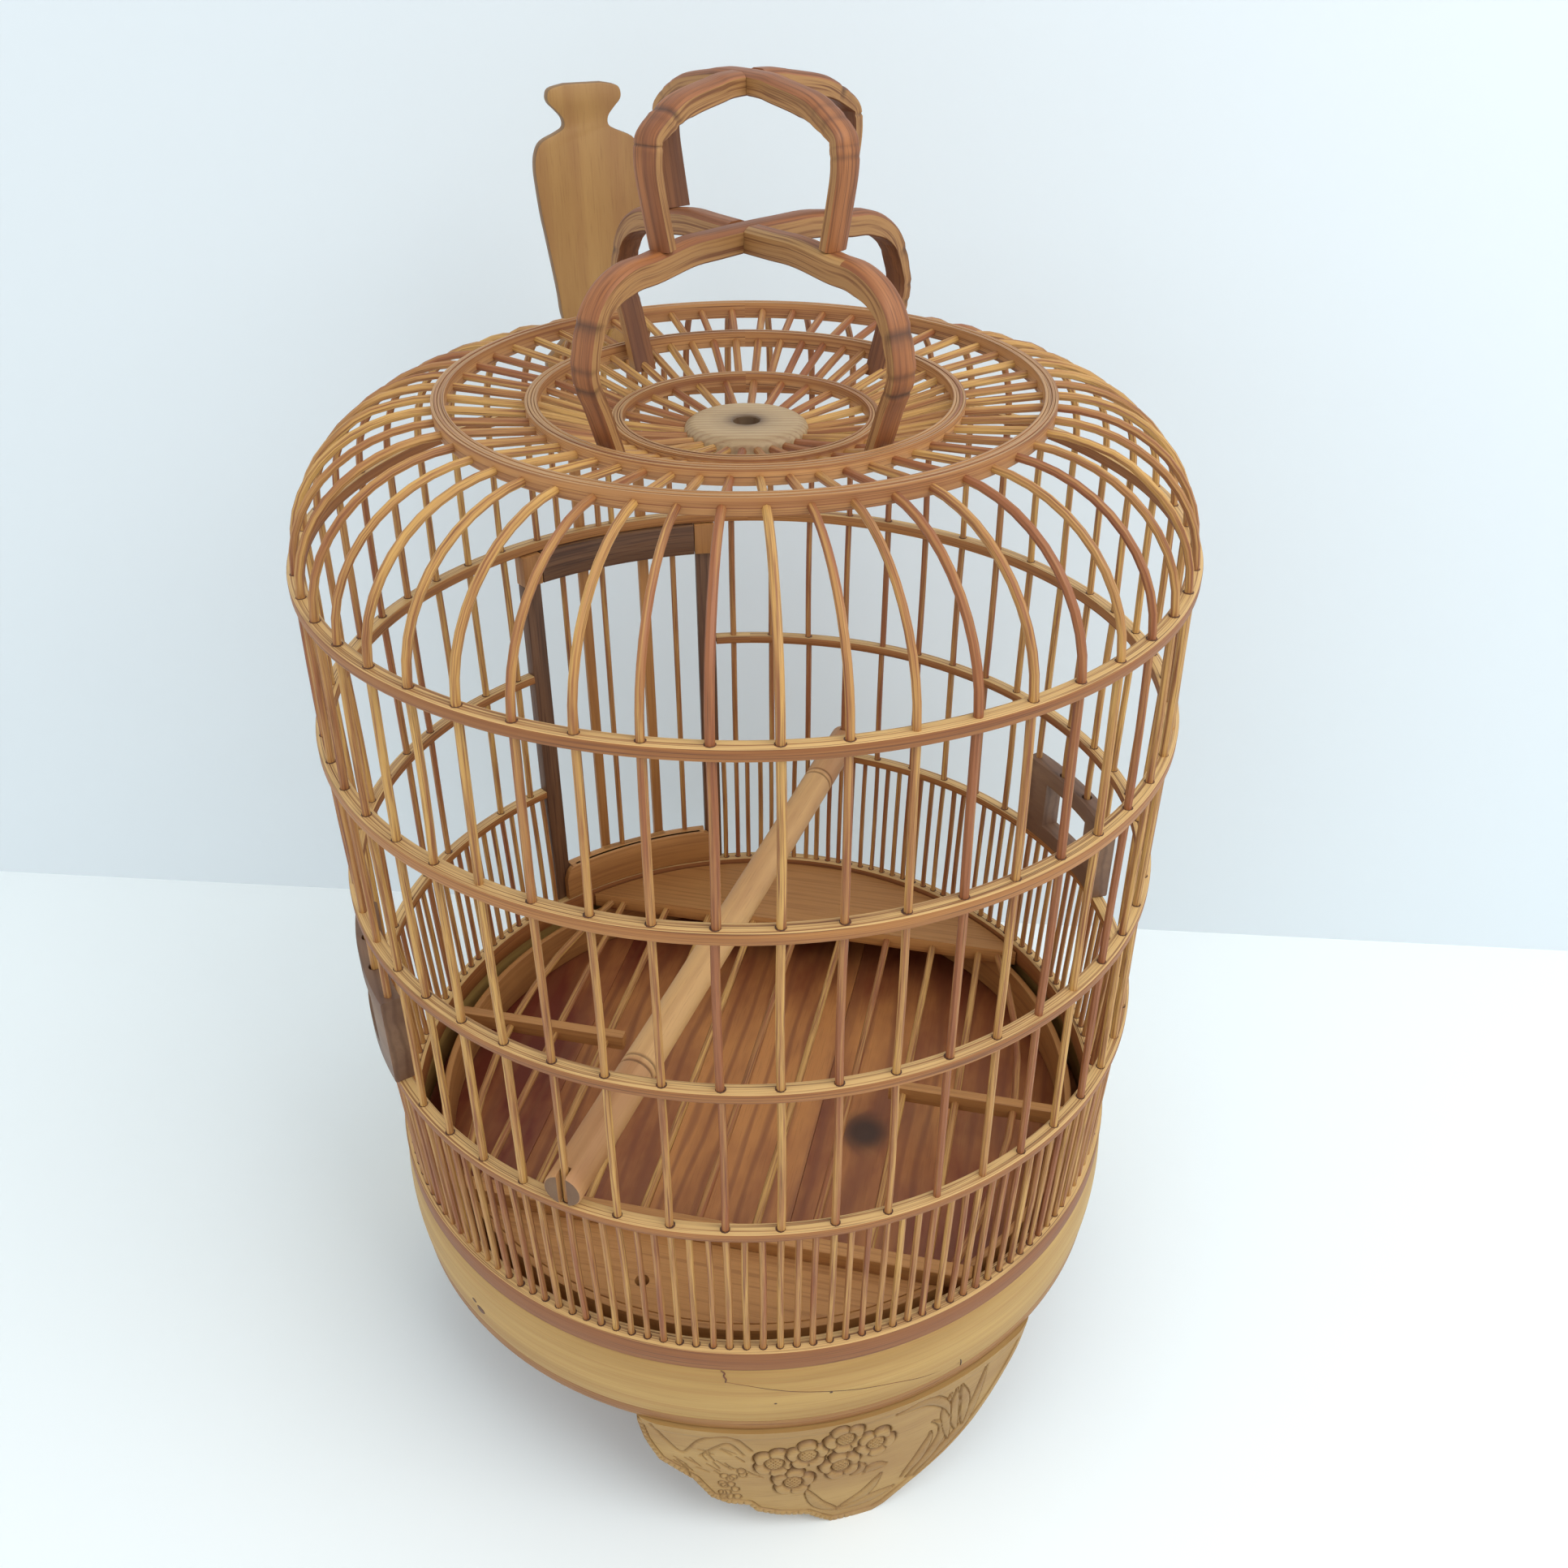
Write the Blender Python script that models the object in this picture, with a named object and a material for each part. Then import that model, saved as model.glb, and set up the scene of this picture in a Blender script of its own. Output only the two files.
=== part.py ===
"""A round bamboo songbird cage: bars set in hoops, a ribbed roof, a plank tray on three carved feet, a
floor grille, a sliding door with a vase-shaped finger plate, a perch, two feeder frames, and a handle of
crossed arches.

Metres, +Z up. The origin is under the middle of the cage, on the surface that its three feet stand on.
An azimuth is in degrees, from the front (-Y) towards the right (+X).
"""

import math
from collections import namedtuple

import bmesh
import bpy
from mathutils import Matrix, Vector

# Clearances
GAP = 0.0003  # between two pieces that seat on each other
SLIDE_CLEARANCE = 0.0005  # round a bar that slides in its hole
OVERRUN = 0.0020  # how far a cutter reaches past the face it opens

# Wall of bars
BAR_COUNT = 52
FIRST_BAR_AZIMUTH = -4.0
BAR_DIAMETER = 0.0030
CLOSE_BAR_DIAMETER = 0.0026
CLOSE_BARS_PER_PITCH = 3  # in the lowest tier
BAR_CIRCLE_RADIUS = 0.1599  # where the bars enter the base hoop

# Hoops that carry the bars, from the bottom up
BASE_HOOP_WIDTH = 0.0066
BASE_HOOP_HEIGHT = 0.0104
LOWER_HOOP_SWELL = 0.0031  # how far its bars stand outside the base hoop's
LOWER_HOOP_WIDTH = 0.0056
LOWER_HOOP_HEIGHT = 0.0038
MIDDLE_HOOP_SWELL = 0.0028
MIDDLE_HOOP_WIDTH = 0.0056
MIDDLE_HOOP_HEIGHT = 0.0040
UPPER_HOOP_SWELL = 0.0034
UPPER_HOOP_WIDTH = 0.0060
UPPER_HOOP_HEIGHT = 0.0046
SHOULDER_HOOP_SWELL = 0.00225
SHOULDER_HOOP_WIDTH = 0.0057
SHOULDER_HOOP_HEIGHT = 0.0042
LOWER_TIER_HEIGHT = 0.0713  # from one hoop's top to the next one's
MIDDLE_TIER_HEIGHT = 0.0685
UPPER_TIER_HEIGHT = 0.0681
SHOULDER_TIER_HEIGHT = 0.0640

# Roof rings and disc
ROOF_RISE = 0.0513  # from the shoulder hoop's top to the outer ring's
OUTER_RING_RADIUS = 0.1068
OUTER_RING_WIDTH = 0.0048
OUTER_RING_HEIGHT = 0.0063
MIDDLE_RING_RADIUS = 0.0754
MIDDLE_RING_WIDTH = 0.0045
MIDDLE_RING_HEIGHT = 0.0060
MIDDLE_RING_DROP = 0.0033  # from the outer ring's top down to the middle ring's
INNER_RING_RADIUS = 0.0460
INNER_RING_WIDTH = 0.0040
INNER_RING_HEIGHT = 0.0048
INNER_RING_DROP = 0.0077
DISC_RADIUS = 0.0223
DISC_THICKNESS = 0.0080
DISC_HOLE_RADIUS = 0.0048
DISC_DROP = 0.0033
SPOKE_DEPTH = 0.0038  # of a spoke's axis under its ring's top
RIB_SEGMENTS = 3
INNER_SPOKE_COUNT = BAR_COUNT // 2  # every second spoke reaches the disc

# Feet and base bands
FOOT_COUNT = 3
FIRST_FOOT_AZIMUTH = 14.0
FOOT_HEIGHT = 0.0690
FOOT_THICKNESS = 0.0110
FOOT_PROUD = 0.0020  # how far the feet stand outside the base band
FOOT_HALF_ANGLE = 32.0
# Underside of a foot: share of its half angle, and share of its height
FOOT_SHARES = (
    (-1.000, 0.970), (-0.966, 0.816), (-0.897, 0.646), (-0.831, 0.586), (-0.741, 0.497), (-0.666, 0.332),
    (-0.588, 0.277), (-0.494, 0.265), (-0.456, 0.196), (-0.350, 0.146), (-0.222, 0.120), (-0.159, 0.048),
    (-0.109, 0.000), (0.134, 0.000), (0.194, 0.093), (0.237, 0.151), (0.359, 0.228), (0.469, 0.301),
    (0.525, 0.362), (0.634, 0.449), (0.734, 0.600), (0.953, 0.970),
)
FOOT_BAND_WIDTH = 0.0125
FOOT_BAND_HEIGHT = 0.0057
FOOT_BAND_INSET = 0.0005  # its edge inside the base band's
BASE_BAND_INSET = 0.0002  # its face inside the base hoop's
BASE_BAND_WALL = 0.0022
BASE_BAND_BULGE = 0.0013
BASE_BAND_HEIGHT = 0.0333

# Plank tray and floor grille, turned together
FLOOR_AZIMUTH = -14.0
PLANK_COUNT = 5
PLANK_THICKNESS = 0.0100
TRAY_CLEARANCE = 0.0006  # between the planks and the base band
PLANK_JOINT = 0.0005
FLOOR_RING_CLEARANCE = 0.0058  # between its back and the base band
FLOOR_RING_WALL = 0.0032
FLOOR_RING_SHIFT = 0.0050  # of its middle towards the back
FLOOR_RING_HEIGHT = 0.0228
FRONT_BOARD_THICKNESS = 0.0064
FRONT_BOARD_DEPTH = 0.0438  # from the ring's inside to the board's straight edge
FRONT_BOARD_HOLE_RADIUS = 0.0030
FRONT_BOARD_HOLE_INSET = 0.0300  # from the board's straight edge
FRONT_BOARD_HOLE_OFFSET = 0.0170  # to the left of its middle
FLOOR_RAIL_WIDTH = 0.0068
FLOOR_RAIL_CLEARANCE = 0.0014  # between its ends and the base hoop
FLOOR_GRILLE_HEIGHT = 0.0083  # of the rail, the battens and the back board
BACK_BOARD_DEPTH = 0.0516
BACK_BOARD_CLEARANCE = 0.0010  # between its arc and the base hoop
BATTEN_WIDTH = 0.0052
BATTEN_LEFT_PLACE = 0.0005  # its middle, towards the back
BATTEN_RIGHT_PLACE = -0.0035
BATTEN_FIRST_ROD = 3  # the innermost rod that a batten carries, counted from the middle one
BATTEN_OVERHANG = 0.0080  # past that rod
ROD_DIAMETER = 0.0036
ROD_SIDES = 6
ROD_RAISE = 0.0038  # of the rods' axes over the grille's underside
ROD_PITCH_SHARE = 0.16333  # of the floor ring's radius
ROD_COUNT = 9  # straight ones
ROD_OFFSET = -0.0016  # of the middle rod
BOWED_ROD_PLACE_SHARE = 0.82667  # of the floor ring's radius, to the two outer rods' middle
BOWED_ROD_BOW_SHARE = 0.12  # of the same radius; how far their ends turn inwards
BOWED_ROD_STEPS = 6

# Sliding door and its opening
DOOR_AZIMUTH = -156.2
DOOR_WIDTH = 0.0812
POST_WIDTH = 0.0090
POST_DEPTH = 0.0058
POST_BLOCK_WIDTH = 0.0100
POST_BLOCK_DEPTH = 0.0078
LINTEL_HEIGHT = 0.0154
LINTEL_DEPTH = 0.0054
DOOR_RAIL_HEIGHT = 0.0199
DOOR_RAIL_TONGUE = 0.0033  # thickness of the ends that reach behind the posts
DOOR_RAIL_LAP = 0.0040  # how far they reach past the posts' inner edges
DOOR_RAIL_COVER = 0.0014  # of wood outside the thin bars' axes
DOOR_RAIL_STEPS = 8
THIN_BAR_DIAMETER = 0.0028
THIN_BAR_SHARES = (-0.72, 0.17, 0.68)  # of the half opening
THIN_BAR_TENON = 0.0080
THIN_BAR_RISE = 0.0078  # over the shoulder hoop
STRIP_WIDTH = 0.0050
STRIP_THICKNESS = 0.0030
STRIP_PLACE = 0.0156  # of each strip's middle beside the door's
STRIP_RISE = 0.0178  # over the shoulder hoop
PLATE_THICKNESS = 0.0050
PLATE_HEIGHT = 0.1200
PLATE_HALF_WIDTH = 0.0237
PLATE_FOOT_HALF_WIDTH = 0.0260
PLATE_LIFT = 0.0078  # of its foot over the shoulder hoop
PLATE_OFFSET = -0.0025
# Vase outline: share of the half width, and share of the height
PLATE_SHARES = (
    (0.603, 0.157), (0.717, 0.225), (0.759, 0.317), (0.886, 0.500), (0.945, 0.579), (0.987, 0.675),
    (1.000, 0.733), (0.962, 0.783), (0.844, 0.825), (0.591, 0.855), (0.425, 0.875), (0.435, 0.905),
    (0.590, 0.935), (0.660, 0.958), (0.600, 0.980), (0.330, 0.996),
)
PLATE_FOOT_EDGE_SHARE = 0.067  # height of the foot's straight edge

# Perch
PERCH_DIAMETER = 0.0150
PERCH_FIRST_BAR = -3  # the bars that its two ends straddle
PERCH_LAST_BAR = 24
PERCH_OVERHANG = 0.0032  # past the bars' axes
PERCH_SIDES = 12

# Feeder frames
FEEDER_FIRST_BARS = (15, -11)  # the first of the four bars that each frame rides on
FEEDER_BAR_COUNT = 4
FEEDER_DEPTH = 0.0084
FEEDER_EDGE = 0.0035  # of wood outside the outermost bars' axes
FEEDER_SILL_HEIGHT = 0.0085
FEEDER_WINDOW_HEIGHT = 0.0240
FEEDER_WINDOW_WIDTH = 0.0340
FEEDER_HEAD_HEIGHT = 0.0085
FEEDER_STUB_DEPTH = 0.0055  # how far the cut bars reach into the frame's head
FEEDER_STEPS = 4

# Handle: two crossed arches on the roof, and two smaller ones that stand on them
HANDLE_WIDTH = 0.0106
ARCH_BARS = (-5, 6)  # the spokes that carry one leg of each arch; the other leg is opposite
ARCH_THICKNESS = 0.0070
ARCH_HALF_SPAN = 0.0784
ARCH_RISE = 0.0658
ARCH_FOOT_DEPTH = 0.0040  # of the prongs under the spoke's axis
# Outside of a lower arch from its middle to a foot: share of the half span, and share of the rise
ARCH_SHARES = (
    (0.190, 1.000), (0.379, 1.000), (0.587, 0.968), (0.714, 0.957), (0.823, 0.912), (0.906, 0.836),
    (0.957, 0.737), (0.994, 0.582), (1.000, 0.479), (0.978, 0.386), (0.948, 0.298), (0.894, 0.111),
    (0.864, 0.000),
)
CROWN_THICKNESS = 0.0065
CROWN_HALF_SPAN = 0.0510
CROWN_RISE = 0.0481
# Outside of an upper arch, in the same way
CROWN_SHARES = (
    (0.190, 1.000), (0.353, 0.978), (0.608, 0.934), (0.755, 0.880), (0.941, 0.759), (0.990, 0.661),
    (1.000, 0.497), (0.961, 0.278), (0.902, 0.000),
)
HANDLE_EDGE_SHARE = 0.22  # of the stock's thickness that is rounded off outside
HANDLE_CROWN_SHARE = 0.55  # of its width that is left flat outside
HANDLE_PIN_HOLE_RADIUS = 0.0015

SMOOTH_ANGLE = math.radians(30)
HOLE_SIDES = 8
HOOP_STEPS = 40  # sides of a wall hoop
RING_STEPS = BAR_COUNT // 2  # of a roof ring, so that two spokes share a side
PITCH = 360 / BAR_COUNT
PITCH_ANGLE = math.radians(PITCH)

FINISHES = {
    "honey_bamboo": ("#B98B52", 0.50),
    "golden_bamboo": ("#C49A5C", 0.50),
    "pale_bamboo": ("#D0B07A", 0.45),
    "brown_bamboo": ("#8E5F35", 0.55),
    "red_wood": ("#7C452A", 0.60),
    "carved_wood": ("#96683C", 0.60),
}

DISPLAY_GAMMA = 2.2

Hoop = namedtuple("Hoop", "radius width height top")


def outer(hoop):
    return hoop.radius + hoop.width / 2


def inner(hoop):
    return hoop.radius - hoop.width / 2


def bottom(hoop):
    return hoop.top - hoop.height


def middle(hoop):
    return hoop.top - hoop.height / 2


foot_band_bottom = FOOT_HEIGHT + GAP
foot_band_top = foot_band_bottom + FOOT_BAND_HEIGHT
base_band_bottom = foot_band_top + GAP
base_band_top = base_band_bottom + BASE_BAND_HEIGHT
base_hoop_top = base_band_top + GAP + BASE_HOOP_HEIGHT
lower_hoop_top = base_hoop_top + LOWER_TIER_HEIGHT
middle_hoop_top = lower_hoop_top + MIDDLE_TIER_HEIGHT
upper_hoop_top = middle_hoop_top + UPPER_TIER_HEIGHT
shoulder_hoop_top = upper_hoop_top + SHOULDER_TIER_HEIGHT
outer_ring_top = shoulder_hoop_top + ROOF_RISE
middle_ring_top = outer_ring_top - MIDDLE_RING_DROP
inner_ring_top = middle_ring_top - INNER_RING_DROP
disc_top = inner_ring_top - DISC_DROP

BASE_HOOP = Hoop(BAR_CIRCLE_RADIUS, BASE_HOOP_WIDTH, BASE_HOOP_HEIGHT, base_hoop_top)
LOWER_HOOP = Hoop(BAR_CIRCLE_RADIUS + LOWER_HOOP_SWELL, LOWER_HOOP_WIDTH, LOWER_HOOP_HEIGHT, lower_hoop_top)
MIDDLE_HOOP = Hoop(
    BAR_CIRCLE_RADIUS + MIDDLE_HOOP_SWELL, MIDDLE_HOOP_WIDTH, MIDDLE_HOOP_HEIGHT, middle_hoop_top
)
UPPER_HOOP = Hoop(BAR_CIRCLE_RADIUS + UPPER_HOOP_SWELL, UPPER_HOOP_WIDTH, UPPER_HOOP_HEIGHT, upper_hoop_top)
SHOULDER_HOOP = Hoop(
    BAR_CIRCLE_RADIUS + SHOULDER_HOOP_SWELL, SHOULDER_HOOP_WIDTH, SHOULDER_HOOP_HEIGHT, shoulder_hoop_top
)
OUTER_RING = Hoop(OUTER_RING_RADIUS, OUTER_RING_WIDTH, OUTER_RING_HEIGHT, outer_ring_top)
MIDDLE_RING = Hoop(MIDDLE_RING_RADIUS, MIDDLE_RING_WIDTH, MIDDLE_RING_HEIGHT, middle_ring_top)
INNER_RING = Hoop(INNER_RING_RADIUS, INNER_RING_WIDTH, INNER_RING_HEIGHT, inner_ring_top)

base_band_radius = outer(BASE_HOOP) - BASE_BAND_INSET
base_band_inside = base_band_radius - BASE_BAND_WALL
floor_ring_radius = base_band_inside - FLOOR_RING_CLEARANCE - FLOOR_RING_SHIFT
floor_ring_inside = floor_ring_radius - FLOOR_RING_WALL
floor_rail_back = floor_ring_inside - FLOOR_RING_SHIFT - FRONT_BOARD_DEPTH
floor_rail_front = floor_rail_back + FLOOR_RAIL_WIDTH
floor_rail_half = math.sqrt(inner(BASE_HOOP) ** 2 - floor_rail_front ** 2) - FLOOR_RAIL_CLEARANCE
back_board_radius = inner(BASE_HOOP) - BACK_BOARD_CLEARANCE
back_board_front = back_board_radius - BACK_BOARD_DEPTH
rod_pitch = floor_ring_radius * ROD_PITCH_SHARE

door_bar_radius = (UPPER_HOOP.radius + SHOULDER_HOOP.radius) / 2
post_offset = math.degrees(math.asin((DOOR_WIDTH + POST_WIDTH) / 2 / UPPER_HOOP.radius))
door_half_angle = math.degrees(math.asin(DOOR_WIDTH / 2 / UPPER_HOOP.radius))
post_half_angle = math.degrees((POST_WIDTH / 2 + GAP) / UPPER_HOOP.radius)
wall_gap_angle = post_offset + post_half_angle
strip_inside = door_bar_radius + DOOR_RAIL_COVER + GAP
strip_outside = strip_inside + STRIP_THICKNESS


def bar_azimuth(index):
    return FIRST_BAR_AZIMUTH + index * PITCH


def turned_from(azimuth, reference):
    """The angle from reference to azimuth, between -180 and 180."""
    return (azimuth - reference + 180) % 360 - 180


def beside_door(azimuth, diameter, hoop):
    """Whether a bar at this azimuth stands clear of the door's posts."""
    reach = wall_gap_angle + math.degrees(diameter / 2 / hoop.radius)
    return abs(turned_from(azimuth, DOOR_AZIMUTH)) > reach


def polar(azimuth, radius, height):
    angle = math.radians(azimuth)
    return Vector((radius * math.sin(angle), -radius * math.cos(angle), height))


def square_side(diameter):
    """Side of the square whose area is that of a round bar."""
    return diameter * math.sqrt(math.pi) / 2


def finish(name):
    found = bpy.data.materials.get(name)
    if found:
        return found
    colour, roughness = FINISHES[name]
    made = bpy.data.materials.new(name)
    made.use_nodes = True
    shader = made.node_tree.nodes["Principled BSDF"]
    channels = [int(colour[start:start + 2], 16) / 255 for start in (1, 3, 5)]
    shader.inputs["Base Color"].default_value = (*(channel ** DISPLAY_GAMMA for channel in channels), 1)
    shader.inputs["Roughness"].default_value = roughness
    shader.inputs["Metallic"].default_value = 0
    return made


def frame_at(name, azimuth, location=(0, 0, 0)):
    """An empty turned so that what is built facing the front faces this azimuth."""
    empty = bpy.data.objects.new(name, None)
    bpy.context.collection.objects.link(empty)
    empty.location = location
    empty.rotation_euler = (0, 0, math.radians(azimuth))
    return empty


def add_object(name, shape, material=None, parent=None):
    bmesh.ops.recalc_face_normals(shape, faces=shape.faces)
    mesh = bpy.data.meshes.new(name)
    shape.to_mesh(mesh)
    shape.free()
    mesh.shade_smooth()
    mesh.set_sharp_from_angle(angle=SMOOTH_ANGLE)
    made = bpy.data.objects.new(name, mesh)
    bpy.context.collection.objects.link(made)
    made.parent = parent
    if material:
        mesh.materials.append(finish(material))
    else:
        made.hide_render = True
        made.display_type = "WIRE"
    return made


def boolean(target, tool, operation):
    modifier = target.modifiers.new(tool.name, "BOOLEAN")
    modifier.operation = operation
    modifier.solver = "EXACT"
    modifier.object = tool


def cut(target, tool):
    boolean(target, tool, "DIFFERENCE")


def fuse(target, tool):
    boolean(target, tool, "UNION")


def add_loft(shape, sections):
    """A closed solid through sections, each a list of as many corners."""
    rows = [[shape.verts.new(corner) for corner in section] for section in sections]
    for first, second in zip(rows, rows[1:]):
        for place in range(len(first)):
            after = (place + 1) % len(first)
            shape.faces.new((first[place], first[after], second[after], second[place]))
    shape.faces.new(list(reversed(rows[0])))
    shape.faces.new(rows[-1])


def add_box(shape, low, high, turn=None):
    """A box between two corners, turned about the vertical axis if an azimuth is given."""
    made = bmesh.ops.create_cube(shape, size=1)["verts"]
    size = Vector(high) - Vector(low)
    bmesh.ops.scale(shape, vec=size, verts=made)
    bmesh.ops.translate(shape, vec=Vector(low) + size / 2, verts=made)
    if turn is not None:
        matrix = Matrix.Rotation(math.radians(turn), 3, "Z")
        bmesh.ops.rotate(shape, cent=(0, 0, 0), matrix=matrix, verts=made)


def box_of(name, low, high, material=None, parent=None, turn=None):
    shape = bmesh.new()
    add_box(shape, low, high, turn)
    return add_object(name, shape, material, parent)


def turned(name, corners, material, steps=BAR_COUNT, start=None, sweep=360, parent=None, true_at=0):
    """A ring, or an arc of one, made by spinning a section given as radius and height round the Z axis.

    Its sides have their true radius at the angle true_at from their middles.
    """
    if start is None:
        start = FIRST_BAR_AZIMUTH + PITCH / 2
    shape = bmesh.new()
    widen = math.cos(math.radians(true_at)) / math.cos(math.radians(sweep / steps / 2))
    loop = [shape.verts.new(polar(start, radius * widen, height)) for radius, height in corners]
    edges = [shape.edges.new((loop[place - 1], loop[place])) for place in range(len(loop))]
    bmesh.ops.spin(
        shape, geom=loop + edges, cent=(0, 0, 0), axis=(0, 0, 1), angle=math.radians(sweep), steps=steps,
        use_merge=sweep == 360,
    )
    if sweep < 360:
        open_edges = [edge for edge in shape.edges if edge.is_boundary]
        bmesh.ops.holes_fill(shape, edges=open_edges, sides=len(corners))
    return add_object(name, shape, material, parent)


def hoop_section(hoop):
    return [
        (inner(hoop), bottom(hoop)), (outer(hoop), bottom(hoop)),
        (outer(hoop), hoop.top), (inner(hoop), hoop.top),
    ]


def bar_section(azimuth, radius, height, side, lean=(1, 0)):
    """The four corners of a bar's section. lean is its direction across the bar, in radius and height."""
    angle = math.radians(azimuth)
    outwards = Vector((math.sin(angle), -math.cos(angle), 0)) * lean[0] + Vector((0, 0, 1)) * lean[1]
    sideways = Vector((math.cos(angle), math.sin(angle), 0))
    centre = polar(azimuth, radius, height)
    return [
        centre + outwards * across * side / 2 + sideways * along * side / 2
        for across, along in ((-1, -1), (1, -1), (1, 1), (-1, 1))
    ]


def add_upright(shape, azimuth, low, high, diameter):
    """A bar between two places, each a radius and a height, with level ends."""
    side = square_side(diameter)
    add_loft(shape, [bar_section(azimuth, radius, height, side) for radius, height in (low, high)])


def add_spoke(shape, azimuth, out, into, diameter):
    """A roof spoke between two places, each a radius and a height, with upright ends."""
    side = square_side(diameter)
    add_loft(shape, [bar_section(azimuth, radius, height, side, (0, 1)) for radius, height in (out, into)])


def add_hole(shape, azimuth, radius, hoop_bottom, hoop_top, diameter):
    """A cutter for the hole of a bar that slides through a hoop."""
    side = square_side(diameter) + 2 * SLIDE_CLEARANCE
    ends = (hoop_bottom - OVERRUN, hoop_top + OVERRUN)
    add_loft(shape, [bar_section(azimuth, radius, height, side) for height in ends])


def make_feet():
    """Three carved feet, cut to their outline along the band that they carry."""
    band = base_band_radius + FOOT_PROUD
    for name, count in zip(("foot_front", "foot_right", "foot_left"), range(FOOT_COUNT)):
        parent = frame_at(name + "_frame", FIRST_FOOT_AZIMUTH + count * 360 / FOOT_COUNT)
        sections = []
        for along, up in FOOT_SHARES:
            azimuth = along * FOOT_HALF_ANGLE
            under = up * FOOT_HEIGHT
            sections.append([
                polar(azimuth, band - FOOT_THICKNESS, under), polar(azimuth, band, under),
                polar(azimuth, band, FOOT_HEIGHT), polar(azimuth, band - FOOT_THICKNESS, FOOT_HEIGHT),
            ])
        shape = bmesh.new()
        add_loft(shape, sections)
        add_object(name, shape, "carved_wood", parent)


def make_base():
    band_outside = base_band_radius - FOOT_BAND_INSET
    band_inside = band_outside - FOOT_BAND_WIDTH
    turned(
        "foot_band",
        [
            (band_inside, foot_band_bottom), (band_outside, foot_band_bottom),
            (band_outside, foot_band_top), (band_inside, foot_band_top),
        ],
        "brown_bamboo", HOOP_STEPS,
    )
    turned(
        "base_band",
        [
            (base_band_inside, base_band_bottom), (base_band_radius, base_band_bottom),
            (base_band_radius + BASE_BAND_BULGE, (base_band_bottom + base_band_top) / 2),
            (base_band_radius, base_band_top), (base_band_inside, base_band_top),
        ],
        "pale_bamboo",
    )


def keep_side(shape, point, outwards):
    """Saws a solid along a plane, takes away what lies outwards of it and closes the cut."""
    parts = shape.verts[:] + shape.edges[:] + shape.faces[:]
    bmesh.ops.bisect_plane(shape, geom=parts, plane_co=point, plane_no=outwards, clear_outer=True)
    bmesh.ops.contextual_create(shape, geom=[edge for edge in shape.edges if edge.is_boundary])


def sawn_disc(name, radius, low, high, cuts, material, parent, centre=0):
    """A board sawn from a disc that lies centre metres back. A cut is a point and a direction."""
    shape = bmesh.new()
    place = Matrix.Translation((0, centre, (low + high) / 2)) @ Matrix.Rotation(PITCH_ANGLE / 2, 4, "Z")
    bmesh.ops.create_cone(
        shape, cap_ends=True, segments=BAR_COUNT, radius1=radius, radius2=radius, depth=high - low,
        matrix=place,
    )
    for point, outwards in cuts:
        keep_side(shape, point, outwards)
    return add_object(name, shape, material, parent)


def make_tray(parent):
    radius = base_band_inside - TRAY_CLEARANCE
    low = base_band_bottom
    high = low + PLANK_THICKNESS
    width = 2 * radius / PLANK_COUNT
    for count in range(PLANK_COUNT):
        left = -radius + count * width
        cuts = []
        if count > 0:
            cuts.append(((left + PLANK_JOINT / 2, 0, 0), (-1, 0, 0)))
        if count < PLANK_COUNT - 1:
            cuts.append(((left + width - PLANK_JOINT / 2, 0, 0), (1, 0, 0)))
        sawn_disc(f"tray_plank_{count + 1}", radius, low, high, cuts, "red_wood", parent)


def place_on(places, along):
    """Where across the floor a rod runs, at a place along it."""
    for (first, first_along), (second, second_along) in zip(places, places[1:]):
        if first_along <= along <= second_along:
            return first + (second - first) * (along - first_along) / (second_along - first_along)
    return places[-1][0]


def add_rod(shape, places, height, radius):
    """A rod through places given as left-to-right and front-to-back, six-sided, with square ends."""
    sections = []
    for across, along in places:
        sections.append([
            Vector((across + radius * math.cos(turn), along, height + radius * math.sin(turn)))
            for turn in (2 * math.pi * side / ROD_SIDES for side in range(ROD_SIDES))
        ])
    add_loft(shape, sections)


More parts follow.
